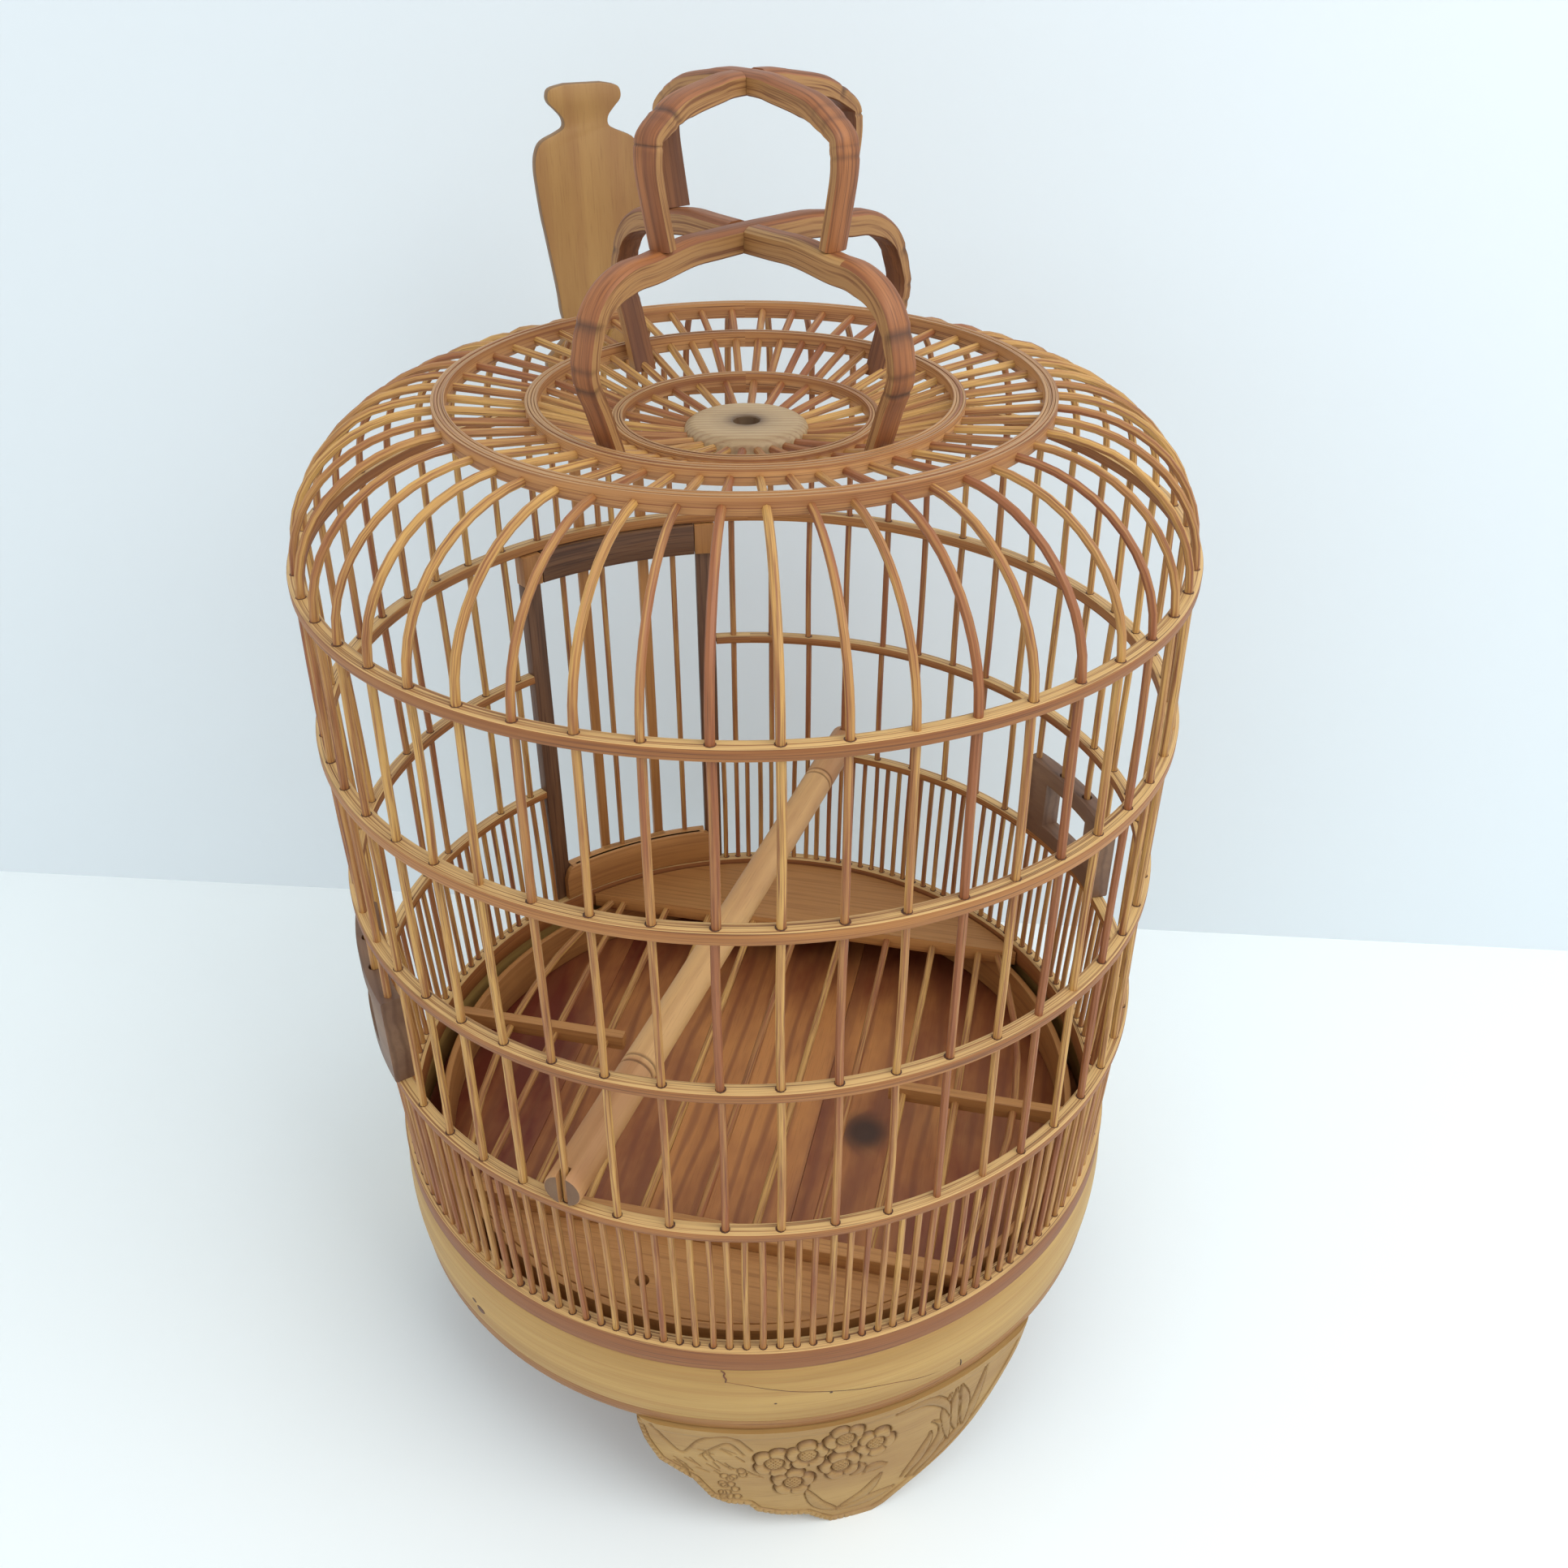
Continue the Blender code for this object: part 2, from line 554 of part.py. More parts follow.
def make_floor(parent):
    """The removable floor: a bent ring with a board at the front and back, a rail, rods and two battens."""
    ring_bottom = base_band_bottom + PLANK_THICKNESS + GAP
    ring_top = ring_bottom + FLOOR_RING_HEIGHT
    ring = turned(
        "floor_ring",
        [
            (floor_ring_inside, ring_bottom), (floor_ring_radius, ring_bottom),
            (floor_ring_radius, ring_top), (floor_ring_inside, ring_top),
        ],
        "honey_bamboo", HOOP_STEPS, parent=parent,
    )
    ring.location = (0, FLOOR_RING_SHIFT, 0)
    board = sawn_disc(
        "floor_front_board", floor_ring_inside - GAP, ring_top - FRONT_BOARD_THICKNESS, ring_top,
        [((0, -floor_rail_back, 0), (0, 1, 0))], "golden_bamboo", parent, FLOOR_RING_SHIFT,
    )
    hole = bmesh.new()
    spot = Vector((-FRONT_BOARD_HOLE_OFFSET, -floor_rail_back - FRONT_BOARD_HOLE_INSET, ring_top))
    bmesh.ops.create_cone(
        hole, cap_ends=True, segments=HOLE_SIDES, radius1=FRONT_BOARD_HOLE_RADIUS,
        radius2=FRONT_BOARD_HOLE_RADIUS,
        depth=2 * (FRONT_BOARD_THICKNESS + OVERRUN), matrix=Matrix.Translation(spot),
    )
    cut(board, add_object("floor_board_hole_cutter", hole, parent=parent))

    low = ring_top + GAP
    high = low + FLOOR_GRILLE_HEIGHT
    box_of(
        "floor_rail",
        (-floor_rail_half, -floor_rail_front, low), (floor_rail_half, -floor_rail_back, high),
        "brown_bamboo", parent,
    )
    sawn_disc(
        "floor_back_board", back_board_radius, low, high,
        [((0, back_board_front, 0), (0, -1, 0))], "golden_bamboo", parent,
    )

    axis_height = low + ROD_RAISE
    front_end = -floor_rail_back + GAP
    back_end = back_board_front - GAP
    halfway = (back_end - front_end) / 2
    routes = []
    for side in (-1, 1):
        places = []
        for count in range(BOWED_ROD_STEPS + 1):
            share = 2 * count / BOWED_ROD_STEPS - 1
            across = side * floor_ring_radius * (BOWED_ROD_PLACE_SHARE - BOWED_ROD_BOW_SHARE * share ** 2)
            places.append((across, (front_end + back_end) / 2 + share * halfway))
        routes.append(places)
    straight = []
    for count in range(ROD_COUNT):
        across = ROD_OFFSET + (count - (ROD_COUNT - 1) / 2) * rod_pitch
        straight.append([(across, front_end), (across, back_end)])
    routes = [routes[0], *straight, routes[1]]
    for number, places in enumerate(routes, 1):
        rod = bmesh.new()
        add_rod(rod, places, axis_height, ROD_DIAMETER / 2)
        add_object(f"floor_rod_{number}", rod, "golden_bamboo", parent)

    hole_radius = ROD_DIAMETER / 2 + GAP
    batten_inner_end = BATTEN_FIRST_ROD * rod_pitch - BATTEN_OVERHANG
    for name, side, place in (("left", -1, BATTEN_LEFT_PLACE), ("right", 1, BATTEN_RIGHT_PLACE)):
        ends = sorted((side * batten_inner_end, side * floor_ring_radius))
        batten = box_of(
            f"floor_batten_{name}",
            (ends[0], place - BATTEN_WIDTH / 2, low), (ends[1], place + BATTEN_WIDTH / 2, high),
            "honey_bamboo", parent,
        )
        holes = bmesh.new()
        reach = (place - BATTEN_WIDTH / 2 - OVERRUN, place + BATTEN_WIDTH / 2 + OVERRUN)
        for places in routes:
            if ends[0] < place_on(places, place) < ends[1]:
                crossing = [(place_on(places, along), along) for along in reach]
                add_rod(holes, crossing, axis_height, hole_radius)
        cut(batten, add_object(f"floor_batten_{name}_holes", holes, parent=parent))


def tier_bars(lower, upper, diameter, azimuths):
    """One mesh of the bars that stand in one hoop and end under the next."""
    shape = bmesh.new()
    for azimuth in azimuths:
        add_upright(
            shape, azimuth, (lower.radius, middle(lower)), (upper.radius, bottom(upper) - GAP), diameter
        )
    return shape


def wall_azimuths(per_pitch, diameter, hoop):
    """The azimuths of the bars in a tier that the doorway interrupts."""
    found = []
    for index in range(BAR_COUNT):
        for part in range(per_pitch):
            azimuth = bar_azimuth(index) + (part - (per_pitch - 1) / 2) * PITCH / per_pitch
            if beside_door(azimuth, diameter, hoop):
                found.append(azimuth)
    return found


def strip_azimuths():
    reach = math.degrees(math.atan(STRIP_PLACE / strip_inside))
    return [DOOR_AZIMUTH - reach, DOOR_AZIMUTH + reach]


def cut_bars():
    """The bars that each feeder frame interrupts: those between its outermost two."""
    return [first + place for first in FEEDER_FIRST_BARS for place in range(1, FEEDER_BAR_COUNT - 1)]


def make_wall():
    """Hoops with the bars that stand in them. The lower and middle hoops stop at the door's posts."""
    base = turned("base_hoop", hoop_section(BASE_HOOP), "golden_bamboo", HOOP_STEPS)
    close = wall_azimuths(CLOSE_BARS_PER_PITCH, CLOSE_BAR_DIAMETER, LOWER_HOOP)
    fuse(base, add_object("base_hoop_bars", tier_bars(BASE_HOOP, LOWER_HOOP, CLOSE_BAR_DIAMETER, close)))

    opened = {"start": DOOR_AZIMUTH + wall_gap_angle, "sweep": 360 - 2 * wall_gap_angle}
    lower = turned("lower_hoop", hoop_section(LOWER_HOOP), "golden_bamboo", HOOP_STEPS, **opened)
    interrupted = {round(turned_from(bar_azimuth(index), 0), 3) for index in cut_bars()}
    plain = wall_azimuths(1, BAR_DIAMETER, LOWER_HOOP)
    whole = [azimuth for azimuth in plain if round(turned_from(azimuth, 0), 3) not in interrupted]
    fuse(lower, add_object("lower_hoop_bars", tier_bars(LOWER_HOOP, MIDDLE_HOOP, BAR_DIAMETER, whole)))

    middle_one = turned("middle_hoop", hoop_section(MIDDLE_HOOP), "golden_bamboo", HOOP_STEPS, **opened)
    long_bars = tier_bars(MIDDLE_HOOP, UPPER_HOOP, BAR_DIAMETER, plain)
    fuse(middle_one, add_object("middle_hoop_bars", long_bars))
    stubs = bmesh.new()
    feeder_top = LOWER_HOOP.top + GAP + FEEDER_SILL_HEIGHT + FEEDER_WINDOW_HEIGHT + FEEDER_HEAD_HEIGHT
    for index in cut_bars():
        add_upright(
            stubs, bar_azimuth(index), (MIDDLE_HOOP.radius, feeder_top - FEEDER_STUB_DEPTH),
            (MIDDLE_HOOP.radius, middle(MIDDLE_HOOP)), BAR_DIAMETER,
        )
    fuse(middle_one, add_object("middle_hoop_stubs", stubs))

    upper = turned("upper_hoop", hoop_section(UPPER_HOOP), "golden_bamboo", HOOP_STEPS)
    replaced = [
        min(range(BAR_COUNT), key=lambda index: abs(turned_from(bar_azimuth(index), azimuth)))
        for azimuth in strip_azimuths()
    ]
    kept = [bar_azimuth(index) for index in range(BAR_COUNT) if index not in replaced]
    fuse(upper, add_object("upper_hoop_bars", tier_bars(UPPER_HOOP, SHOULDER_HOOP, BAR_DIAMETER, kept)))
    shoulder = turned("shoulder_hoop", hoop_section(SHOULDER_HOOP), "golden_bamboo", HOOP_STEPS)
    fuse(shoulder, add_object("roof_ribs", rib_shapes()))
    for hoop, target in ((UPPER_HOOP, upper), (SHOULDER_HOOP, shoulder)):
        guides = bmesh.new()
        for share in THIN_BAR_SHARES:
            azimuth = DOOR_AZIMUTH + share * door_half_angle
            add_hole(guides, azimuth, door_bar_radius, bottom(hoop), hoop.top, THIN_BAR_DIAMETER)
        side = STRIP_WIDTH / 2 + SLIDE_CLEARANCE
        for place in (-STRIP_PLACE, STRIP_PLACE):
            add_box(
                guides,
                (place - side, -outer(hoop) - OVERRUN, bottom(hoop) - OVERRUN),
                (place + side, -strip_inside + SLIDE_CLEARANCE, hoop.top + OVERRUN),
                DOOR_AZIMUTH,
            )
        cut(target, add_object(target.name + "_guides", guides))


def rib_shapes():
    """Each rib rises from the shoulder hoop on a quarter ellipse and ends level at the outer ring."""
    shape = bmesh.new()
    side = square_side(BAR_DIAMETER)
    end_radius = outer(OUTER_RING) + GAP
    reach = SHOULDER_HOOP.radius - end_radius
    rise = OUTER_RING.top - SPOKE_DEPTH - SHOULDER_HOOP.top
    for index in range(BAR_COUNT):
        sections = [bar_section(bar_azimuth(index), SHOULDER_HOOP.radius, middle(SHOULDER_HOOP), side)]
        for count in range(1, RIB_SEGMENTS + 1):
            turn = math.pi / 2 * count / RIB_SEGMENTS
            radius = end_radius + reach * math.cos(turn)
            height = SHOULDER_HOOP.top + rise * math.sin(turn)
            slope = Vector((rise * math.cos(turn), reach * math.sin(turn))).normalized()
            sections.append(bar_section(bar_azimuth(index), radius, height, side, slope))
        add_loft(shape, sections)
    return shape


def spoke_height(ring):
    return ring.top - SPOKE_DEPTH


def make_roof():
    """Three rings and a disc, with spokes that each stand in one ring and end at the next."""
    indices = range(BAR_COUNT)
    disc_edge = Hoop(DISC_RADIUS, 0, DISC_THICKNESS, disc_top)
    zones = (
        ("roof_outer_ring", OUTER_RING, MIDDLE_RING, indices),
        ("roof_middle_ring", MIDDLE_RING, INNER_RING, indices),
        ("roof_inner_ring", INNER_RING, disc_edge, indices[::BAR_COUNT // INNER_SPOKE_COUNT]),
    )
    for name, ring, following, chosen in zones:
        made = turned(name, hoop_section(ring), "honey_bamboo", RING_STEPS, true_at=PITCH / 2)
        spokes = bmesh.new()
        for index in chosen:
            start = (ring.radius, spoke_height(ring))
            end = (outer(following) + GAP, spoke_height(following))
            add_spoke(spokes, bar_azimuth(index), start, end, BAR_DIAMETER)
        fuse(made, add_object(name + "_spokes", spokes))
    turned(
        "roof_disc",
        [
            (DISC_HOLE_RADIUS, disc_top - DISC_THICKNESS), (DISC_RADIUS, disc_top - DISC_THICKNESS),
            (DISC_RADIUS, disc_top), (DISC_HOLE_RADIUS, disc_top),
        ],
        "brown_bamboo", RING_STEPS, FIRST_BAR_AZIMUTH + PITCH,
    )


def make_doorway(parent):
    """Posts from the base hoop to the upper hoop, a block on each, and a lintel between the blocks."""
    post_bottom = BASE_HOOP.top + GAP
    lintel_top = bottom(UPPER_HOOP) - GAP
    lintel_bottom = lintel_top - LINTEL_HEIGHT
    for name, side in (("left", 1), ("right", -1)):
        place = side * post_offset
        box_of(
            f"door_post_{name}",
            (-POST_WIDTH / 2, -UPPER_HOOP.radius - POST_DEPTH / 2, post_bottom),
            (POST_WIDTH / 2, -UPPER_HOOP.radius + POST_DEPTH / 2, lintel_bottom - GAP),
            "golden_bamboo", parent, place,
        )
        block_outside = -outer(UPPER_HOOP)
        box_of(
            f"door_block_{name}",
            (-POST_BLOCK_WIDTH / 2, block_outside, lintel_bottom),
            (POST_BLOCK_WIDTH / 2, block_outside + POST_BLOCK_DEPTH, lintel_top),
            "golden_bamboo", parent, place,
        )
    block_inside = outer(UPPER_HOOP) - POST_BLOCK_DEPTH
    half = post_offset - math.degrees((POST_BLOCK_WIDTH / 2 + GAP) / block_inside)
    lintel = turned(
        "door_lintel",
        [
            (block_inside, lintel_bottom), (block_inside + LINTEL_DEPTH, lintel_bottom),
            (block_inside + LINTEL_DEPTH, lintel_top), (block_inside, lintel_top),
        ],
        "golden_bamboo", DOOR_RAIL_STEPS, -half, 2 * half, parent,
    )
    holes = bmesh.new()
    for share in THIN_BAR_SHARES:
        azimuth = share * door_half_angle
        add_hole(holes, azimuth, door_bar_radius, lintel_bottom, lintel_top, THIN_BAR_DIAMETER)
    cut(lintel, add_object("door_lintel_holes", holes, parent=parent))


def plate_outline():
    """Half of the vase outline as place and height, from the foot's middle up to the mouth's middle."""
    points = [(PLATE_FOOT_HALF_WIDTH, 0), (PLATE_FOOT_HALF_WIDTH, PLATE_FOOT_EDGE_SHARE * PLATE_HEIGHT)]
    points += [(across * PLATE_HALF_WIDTH, up * PLATE_HEIGHT) for across, up in PLATE_SHARES]
    return points


def make_door(parent):
    """The sliding door: a rail, three thin bars, two flat strips outside the hoops and the vase plate."""
    rail_bottom = BASE_HOOP.top + GAP
    rail_top = rail_bottom + DOOR_RAIL_HEIGHT
    tongue_outside = UPPER_HOOP.radius - POST_DEPTH / 2 - GAP
    rail_inside = tongue_outside - DOOR_RAIL_TONGUE
    tongue_half = door_half_angle + math.degrees(DOOR_RAIL_LAP / UPPER_HOOP.radius)
    rail = turned(
        "door_rail",
        [
            (rail_inside, rail_bottom), (tongue_outside, rail_bottom),
            (tongue_outside, rail_top), (rail_inside, rail_top),
        ],
        "golden_bamboo", DOOR_RAIL_STEPS, -tongue_half, 2 * tongue_half, parent,
    )
    rail_outside = door_bar_radius + DOOR_RAIL_COVER
    face_half = door_half_angle - math.degrees(SLIDE_CLEARANCE / UPPER_HOOP.radius)
    face = turned(
        "door_rail_face",
        [
            (rail_inside + DOOR_RAIL_TONGUE / 2, rail_bottom), (rail_outside, rail_bottom),
            (rail_outside, rail_top), (rail_inside + DOOR_RAIL_TONGUE / 2, rail_top),
        ],
        None, DOOR_RAIL_STEPS, -face_half, 2 * face_half, parent,
    )
    fuse(rail, face)
    pad_half = STRIP_PLACE + STRIP_WIDTH / 2 + GAP
    pad = box_of(
        "door_rail_pad", (-pad_half, -rail_outside, rail_bottom), (pad_half, -tongue_outside, rail_top),
        parent=parent,
    )
    fuse(rail, pad)
    sockets = bmesh.new()
    socket_side = square_side(THIN_BAR_DIAMETER) + 2 * GAP
    for share in THIN_BAR_SHARES:
        ends = (rail_top - THIN_BAR_TENON - GAP, rail_top + OVERRUN)
        azimuth = share * door_half_angle
        add_loft(sockets, [bar_section(azimuth, door_bar_radius, height, socket_side) for height in ends])
    cut(rail, add_object("door_rail_sockets", sockets, parent=parent))

    for name, share in zip(("right", "middle", "left"), THIN_BAR_SHARES):
        bar = bmesh.new()
        azimuth = share * door_half_angle
        low = (door_bar_radius, rail_top - THIN_BAR_TENON)
        high = (door_bar_radius, SHOULDER_HOOP.top + THIN_BAR_RISE)
        add_upright(bar, azimuth, low, high, THIN_BAR_DIAMETER)
        add_object(f"door_bar_{name}", bar, "golden_bamboo", parent)
    for name, place in (("right", -STRIP_PLACE), ("left", STRIP_PLACE)):
        box_of(
            f"door_strip_{name}",
            (place - STRIP_WIDTH / 2, -strip_outside, rail_bottom),
            (place + STRIP_WIDTH / 2, -strip_inside, SHOULDER_HOOP.top + STRIP_RISE),
            "golden_bamboo", parent,
        )

    half = plate_outline()
    outline = half + [(-across, up) for across, up in reversed(half)]
    base = SHOULDER_HOOP.top + PLATE_LIFT
    near = strip_outside + GAP
    plate = bmesh.new()
    add_loft(plate, [
        [Vector((PLATE_OFFSET + across, -distance, base + up)) for across, up in outline]
        for distance in (near, near + PLATE_THICKNESS)
    ])
    add_object("door_plate", plate, "honey_bamboo", parent)


def make_perch():
    """A round perch whose forked ends straddle two bars of the middle tier."""
    first = polar(bar_azimuth(PERCH_FIRST_BAR), LOWER_HOOP.radius, 0)
    last = polar(bar_azimuth(PERCH_LAST_BAR), LOWER_HOOP.radius, 0)
    chord = last - first
    height = LOWER_HOOP.top + GAP + PERCH_DIAMETER / 2
    centre = (first + last) / 2 + Vector((0, 0, height))
    parent = frame_at("perch_frame", math.degrees(math.atan2(chord.y, chord.x)), centre)
    half = chord.length / 2 + PERCH_OVERHANG
    radius = PERCH_DIAMETER / 2
    shape = bmesh.new()
    add_loft(shape, [
        [
            Vector((along, radius * math.cos(turn), radius * math.sin(turn)))
            for turn in (2 * math.pi * (side + 0.5) / PERCH_SIDES for side in range(PERCH_SIDES))
        ]
        for along in (-half, half)
    ])
    perch = add_object("perch", shape, "brown_bamboo", parent)
    slots = bmesh.new()
    slot = square_side(BAR_DIAMETER) / 2 + SLIDE_CLEARANCE
    for side in (-1, 1):
        ends = sorted((side * (chord.length / 2 - slot), side * (half + OVERRUN)))
        add_box(slots, (ends[0], -slot, -radius - OVERRUN), (ends[1], slot, radius + OVERRUN))
    cut(perch, add_object("perch_slots", slots, parent=parent))


def make_feeder_frames():
    """A frame on four bars at each side. It lies on the lower hoop and lifts to let a cup in."""
    low = LOWER_HOOP.top + GAP
    high = low + FEEDER_SILL_HEIGHT + FEEDER_WINDOW_HEIGHT + FEEDER_HEAD_HEIGHT
    radius = LOWER_HOOP.radius
    reach = math.degrees(FEEDER_EDGE / radius) + (FEEDER_BAR_COUNT - 1) / 2 * PITCH
    for name, first in zip(("right", "left"), FEEDER_FIRST_BARS):
        azimuth = bar_azimuth(first + (FEEDER_BAR_COUNT - 1) / 2)
        parent = frame_at(f"feeder_{name}_frame", azimuth)
        frame = turned(
            f"feeder_frame_{name}",
            [
                (radius - FEEDER_DEPTH / 2, low), (radius + FEEDER_DEPTH / 2, low),
                (radius + FEEDER_DEPTH / 2, high), (radius - FEEDER_DEPTH / 2, high),
            ],
            "red_wood", FEEDER_STEPS, -reach, 2 * reach, parent,
        )
        openings = bmesh.new()
        add_box(
            openings,
            (-FEEDER_WINDOW_WIDTH / 2, -radius - FEEDER_DEPTH, low + FEEDER_SILL_HEIGHT),
            (FEEDER_WINDOW_WIDTH / 2, -radius + FEEDER_DEPTH, high - FEEDER_HEAD_HEIGHT),
        )
        cut(frame, add_object(f"feeder_{name}_window", openings, parent=parent))
        holes = bmesh.new()
        hole_radius = (LOWER_HOOP.radius + MIDDLE_HOOP.radius) / 2
        for place in range(FEEDER_BAR_COUNT):
            turn = (place - (FEEDER_BAR_COUNT - 1) / 2) * PITCH
            within = 0 < place < FEEDER_BAR_COUNT - 1
            hole_bottom = high - FEEDER_HEAD_HEIGHT if within else low
            add_hole(holes, turn, hole_radius, hole_bottom, high, BAR_DIAMETER)
        cut(frame, add_object(f"feeder_{name}_holes", holes, parent=parent))


def arch_section(across, up, inwards, thickness):
    """Section of the handle's stock at a place on its outside: flat inside, with its outer edges eased."""
    outside = Vector((across, 0, up))
    inside = outside + Vector((inwards[0], 0, inwards[1])) * thickness
    eased = outside.lerp(inside, HANDLE_EDGE_SHARE)
    sideways = Vector((0, HANDLE_WIDTH / 2, 0))
    return [
        inside - sideways, eased - sideways, outside - sideways * HANDLE_CROWN_SHARE,
        outside + sideways * HANDLE_CROWN_SHARE, eased + sideways, inside + sideways,
    ]


def arch_points(shares, half_span, rise, base):
    """The outside of an arch, from foot to foot."""
    half = [(across * half_span, base + up * rise) for across, up in shares]
    return [(-across, up) for across, up in reversed(half)] + half


def arch_directions(points):
    """For each point of an arch, the direction across the stock towards its inside."""
    found = []
    for place in range(len(points)):
        before = points[max(place - 1, 0)]
        after = points[min(place + 1, len(points) - 1)]
        along = Vector((after[0] - before[0], after[1] - before[1])).normalized()
        found.append((along.y, -along.x))
    return found


def height_on(points, place):
    """The height of an arch's outside at a place across it."""
    for (left, left_up), (right, right_up) in zip(points, points[1:]):
        if left <= place <= right:
            return left_up + (right_up - left_up) * (place - left) / (right - left)
    return points[-1][1]


def make_handle():
    """Two crossed lower arches astride the roof's spokes, and two upper arches on their backs."""
    foot_radius = ARCH_SHARES[-1][0] * ARCH_HALF_SPAN
    span = outer(MIDDLE_RING) - outer(INNER_RING)
    fall = (spoke_height(MIDDLE_RING) - spoke_height(INNER_RING)) / span
    spoke = spoke_height(MIDDLE_RING) - (MIDDLE_RING.radius - foot_radius) * fall
    arch_base = spoke - ARCH_FOOT_DEPTH
    arch_top = arch_base + ARCH_RISE
    lower_points = arch_points(ARCH_SHARES, ARCH_HALF_SPAN, ARCH_RISE, arch_base)
    crown_base = height_on(lower_points, CROWN_SHARES[-1][0] * CROWN_HALF_SPAN) + GAP
    upper_points = arch_points(CROWN_SHARES, CROWN_HALF_SPAN, CROWN_RISE, crown_base)
    crown_top = crown_base + CROWN_RISE
    pairs = (
        ("lower", lower_points, ARCH_THICKNESS, arch_top),
        ("upper", upper_points, CROWN_THICKNESS, crown_top),
    )
    turns = [bar_azimuth(index) - 90 for index in ARCH_BARS]
    side = HANDLE_WIDTH / 2 + GAP
    lap_reach = 2 * HANDLE_WIDTH
    for level, points, thickness, top in pairs:
        halfway = top - thickness / 2
        for number in (1, 2):
            parent = frame_at(f"handle_{level}_{number}_frame", turns[number - 1])
            shape = bmesh.new()
            sections = []
            for (across, up), inwards in zip(points, arch_directions(points)):
                sections.append(arch_section(across, up, inwards, thickness))
            if level == "upper":
                for end in (0, -1):
                    sections[end] = [
                        Vector((corner.x, corner.y, height_on(lower_points, corner.x) + GAP))
                        for corner in sections[end]
                    ]
            add_loft(shape, sections)
            arch = add_object(f"handle_{level}_{number}", shape, "honey_bamboo", parent)
            if number == 1:
                lap = (halfway - GAP / 2, top + OVERRUN)
            else:
                lap = (top - thickness - OVERRUN, halfway + GAP / 2)
            cut(arch, box_of(
                f"handle_{level}_lap_{number}", (-lap_reach, -side, lap[0]), (lap_reach, side, lap[1]),
                turn=turns[2 - number],
            ))
            if level == "upper":
                continue
            slots = bmesh.new()
            slot = square_side(BAR_DIAMETER) / 2 + SLIDE_CLEARANCE
            for end in (-1, 1):
                reach = sorted((end * (foot_radius - 2 * ARCH_THICKNESS), end * (foot_radius + OVERRUN)))
                slot_top = spoke + square_side(BAR_DIAMETER) / 2 + GAP
                add_box(slots, (reach[0], -slot, arch_base - OVERRUN), (reach[1], slot, slot_top))
            cut(arch, add_object(f"handle_fork_{number}", slots, parent=parent))
            pin = bmesh.new()
            bmesh.ops.create_cone(
                pin, cap_ends=True, segments=HOLE_SIDES, radius1=HANDLE_PIN_HOLE_RADIUS,
                radius2=HANDLE_PIN_HOLE_RADIUS,
                depth=2 * (ARCH_THICKNESS + OVERRUN), matrix=Matrix.Translation((0, 0, halfway)),
            )
            cut(arch, add_object(f"handle_pin_hole_{number}", pin))


def main():
    for found in list(bpy.data.objects):
        bpy.data.objects.remove(found)
    make_feet()
    make_base()
    floor_frame = frame_at("floor_frame", FLOOR_AZIMUTH)
    make_tray(floor_frame)
    make_floor(floor_frame)
    make_wall()
    make_roof()
    make_doorway(frame_at("doorway_frame", DOOR_AZIMUTH))
    make_door(frame_at("door_frame", DOOR_AZIMUTH))
    make_perch()
    make_feeder_frames()
    make_handle()


main()
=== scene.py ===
import math
import random

import bmesh
import bpy
import numpy as np
from mathutils import Matrix, Vector


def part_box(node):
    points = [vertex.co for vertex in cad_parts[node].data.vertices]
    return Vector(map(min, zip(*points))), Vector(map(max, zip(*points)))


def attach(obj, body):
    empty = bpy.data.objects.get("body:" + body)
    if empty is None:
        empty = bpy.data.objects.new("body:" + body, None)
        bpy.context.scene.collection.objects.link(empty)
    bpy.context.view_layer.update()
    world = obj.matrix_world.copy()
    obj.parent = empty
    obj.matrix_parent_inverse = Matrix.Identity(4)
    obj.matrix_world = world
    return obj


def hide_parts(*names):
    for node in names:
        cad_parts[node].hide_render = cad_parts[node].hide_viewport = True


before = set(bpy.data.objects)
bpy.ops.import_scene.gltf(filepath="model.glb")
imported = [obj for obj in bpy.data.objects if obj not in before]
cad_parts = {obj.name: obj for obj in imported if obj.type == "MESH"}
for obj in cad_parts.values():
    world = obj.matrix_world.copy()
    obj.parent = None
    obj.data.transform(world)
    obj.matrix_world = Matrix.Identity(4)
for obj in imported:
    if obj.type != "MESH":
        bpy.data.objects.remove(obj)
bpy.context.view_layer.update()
bpy.ops.object.select_all(action="DESELECT")
print("frame loaded")

mm = 0.001
gap = 0.3  # in mm, between pieces that only meet
chance = random.Random(52)

# Azimuths are in degrees from the front towards the right, and heights are from the floor.
cage = {
    "barCount": 52,
    "firstBar": -4.0,
    "floor": -14.0,  # the tray and the floor grille are turned by this much
    "door": -156.2,
    "smoothAngle": math.radians(35),
}
pitch = 360 / cage["barCount"]
hoops = {  # in mm: middle line's radius, width, height, top
    "base": {"radius": 159.9, "width": 6.6, "height": 10.4, "top": 119.3},
    "lower": {"radius": 163.0, "width": 5.6, "height": 3.8, "top": 190.6},
    "middle": {"radius": 162.7, "width": 5.6, "height": 4.0, "top": 259.1},
    "upper": {"radius": 163.3, "width": 6.0, "height": 4.6, "top": 327.2},
    "shoulder": {"radius": 162.15, "width": 5.7, "height": 4.2, "top": 391.2},
    "outerRing": {"radius": 106.8, "width": 4.8, "height": 6.3, "top": 442.5},
    "middleRing": {"radius": 75.4, "width": 4.5, "height": 6.0, "top": 439.2},
    "innerRing": {"radius": 46.0, "width": 4.0, "height": 4.8, "top": 431.5},
    "disc": {"radius": 22.3, "width": 0.0, "height": 8.0, "top": 428.2},
}


def linear(colour):
    channels = [int(colour[start:start + 2], 16) / 255 for start in (1, 3, 5)]
    return (*(c / 12.92 if c < 0.04045 else ((c + 0.055) / 1.055) ** 2.4 for c in channels), 1)


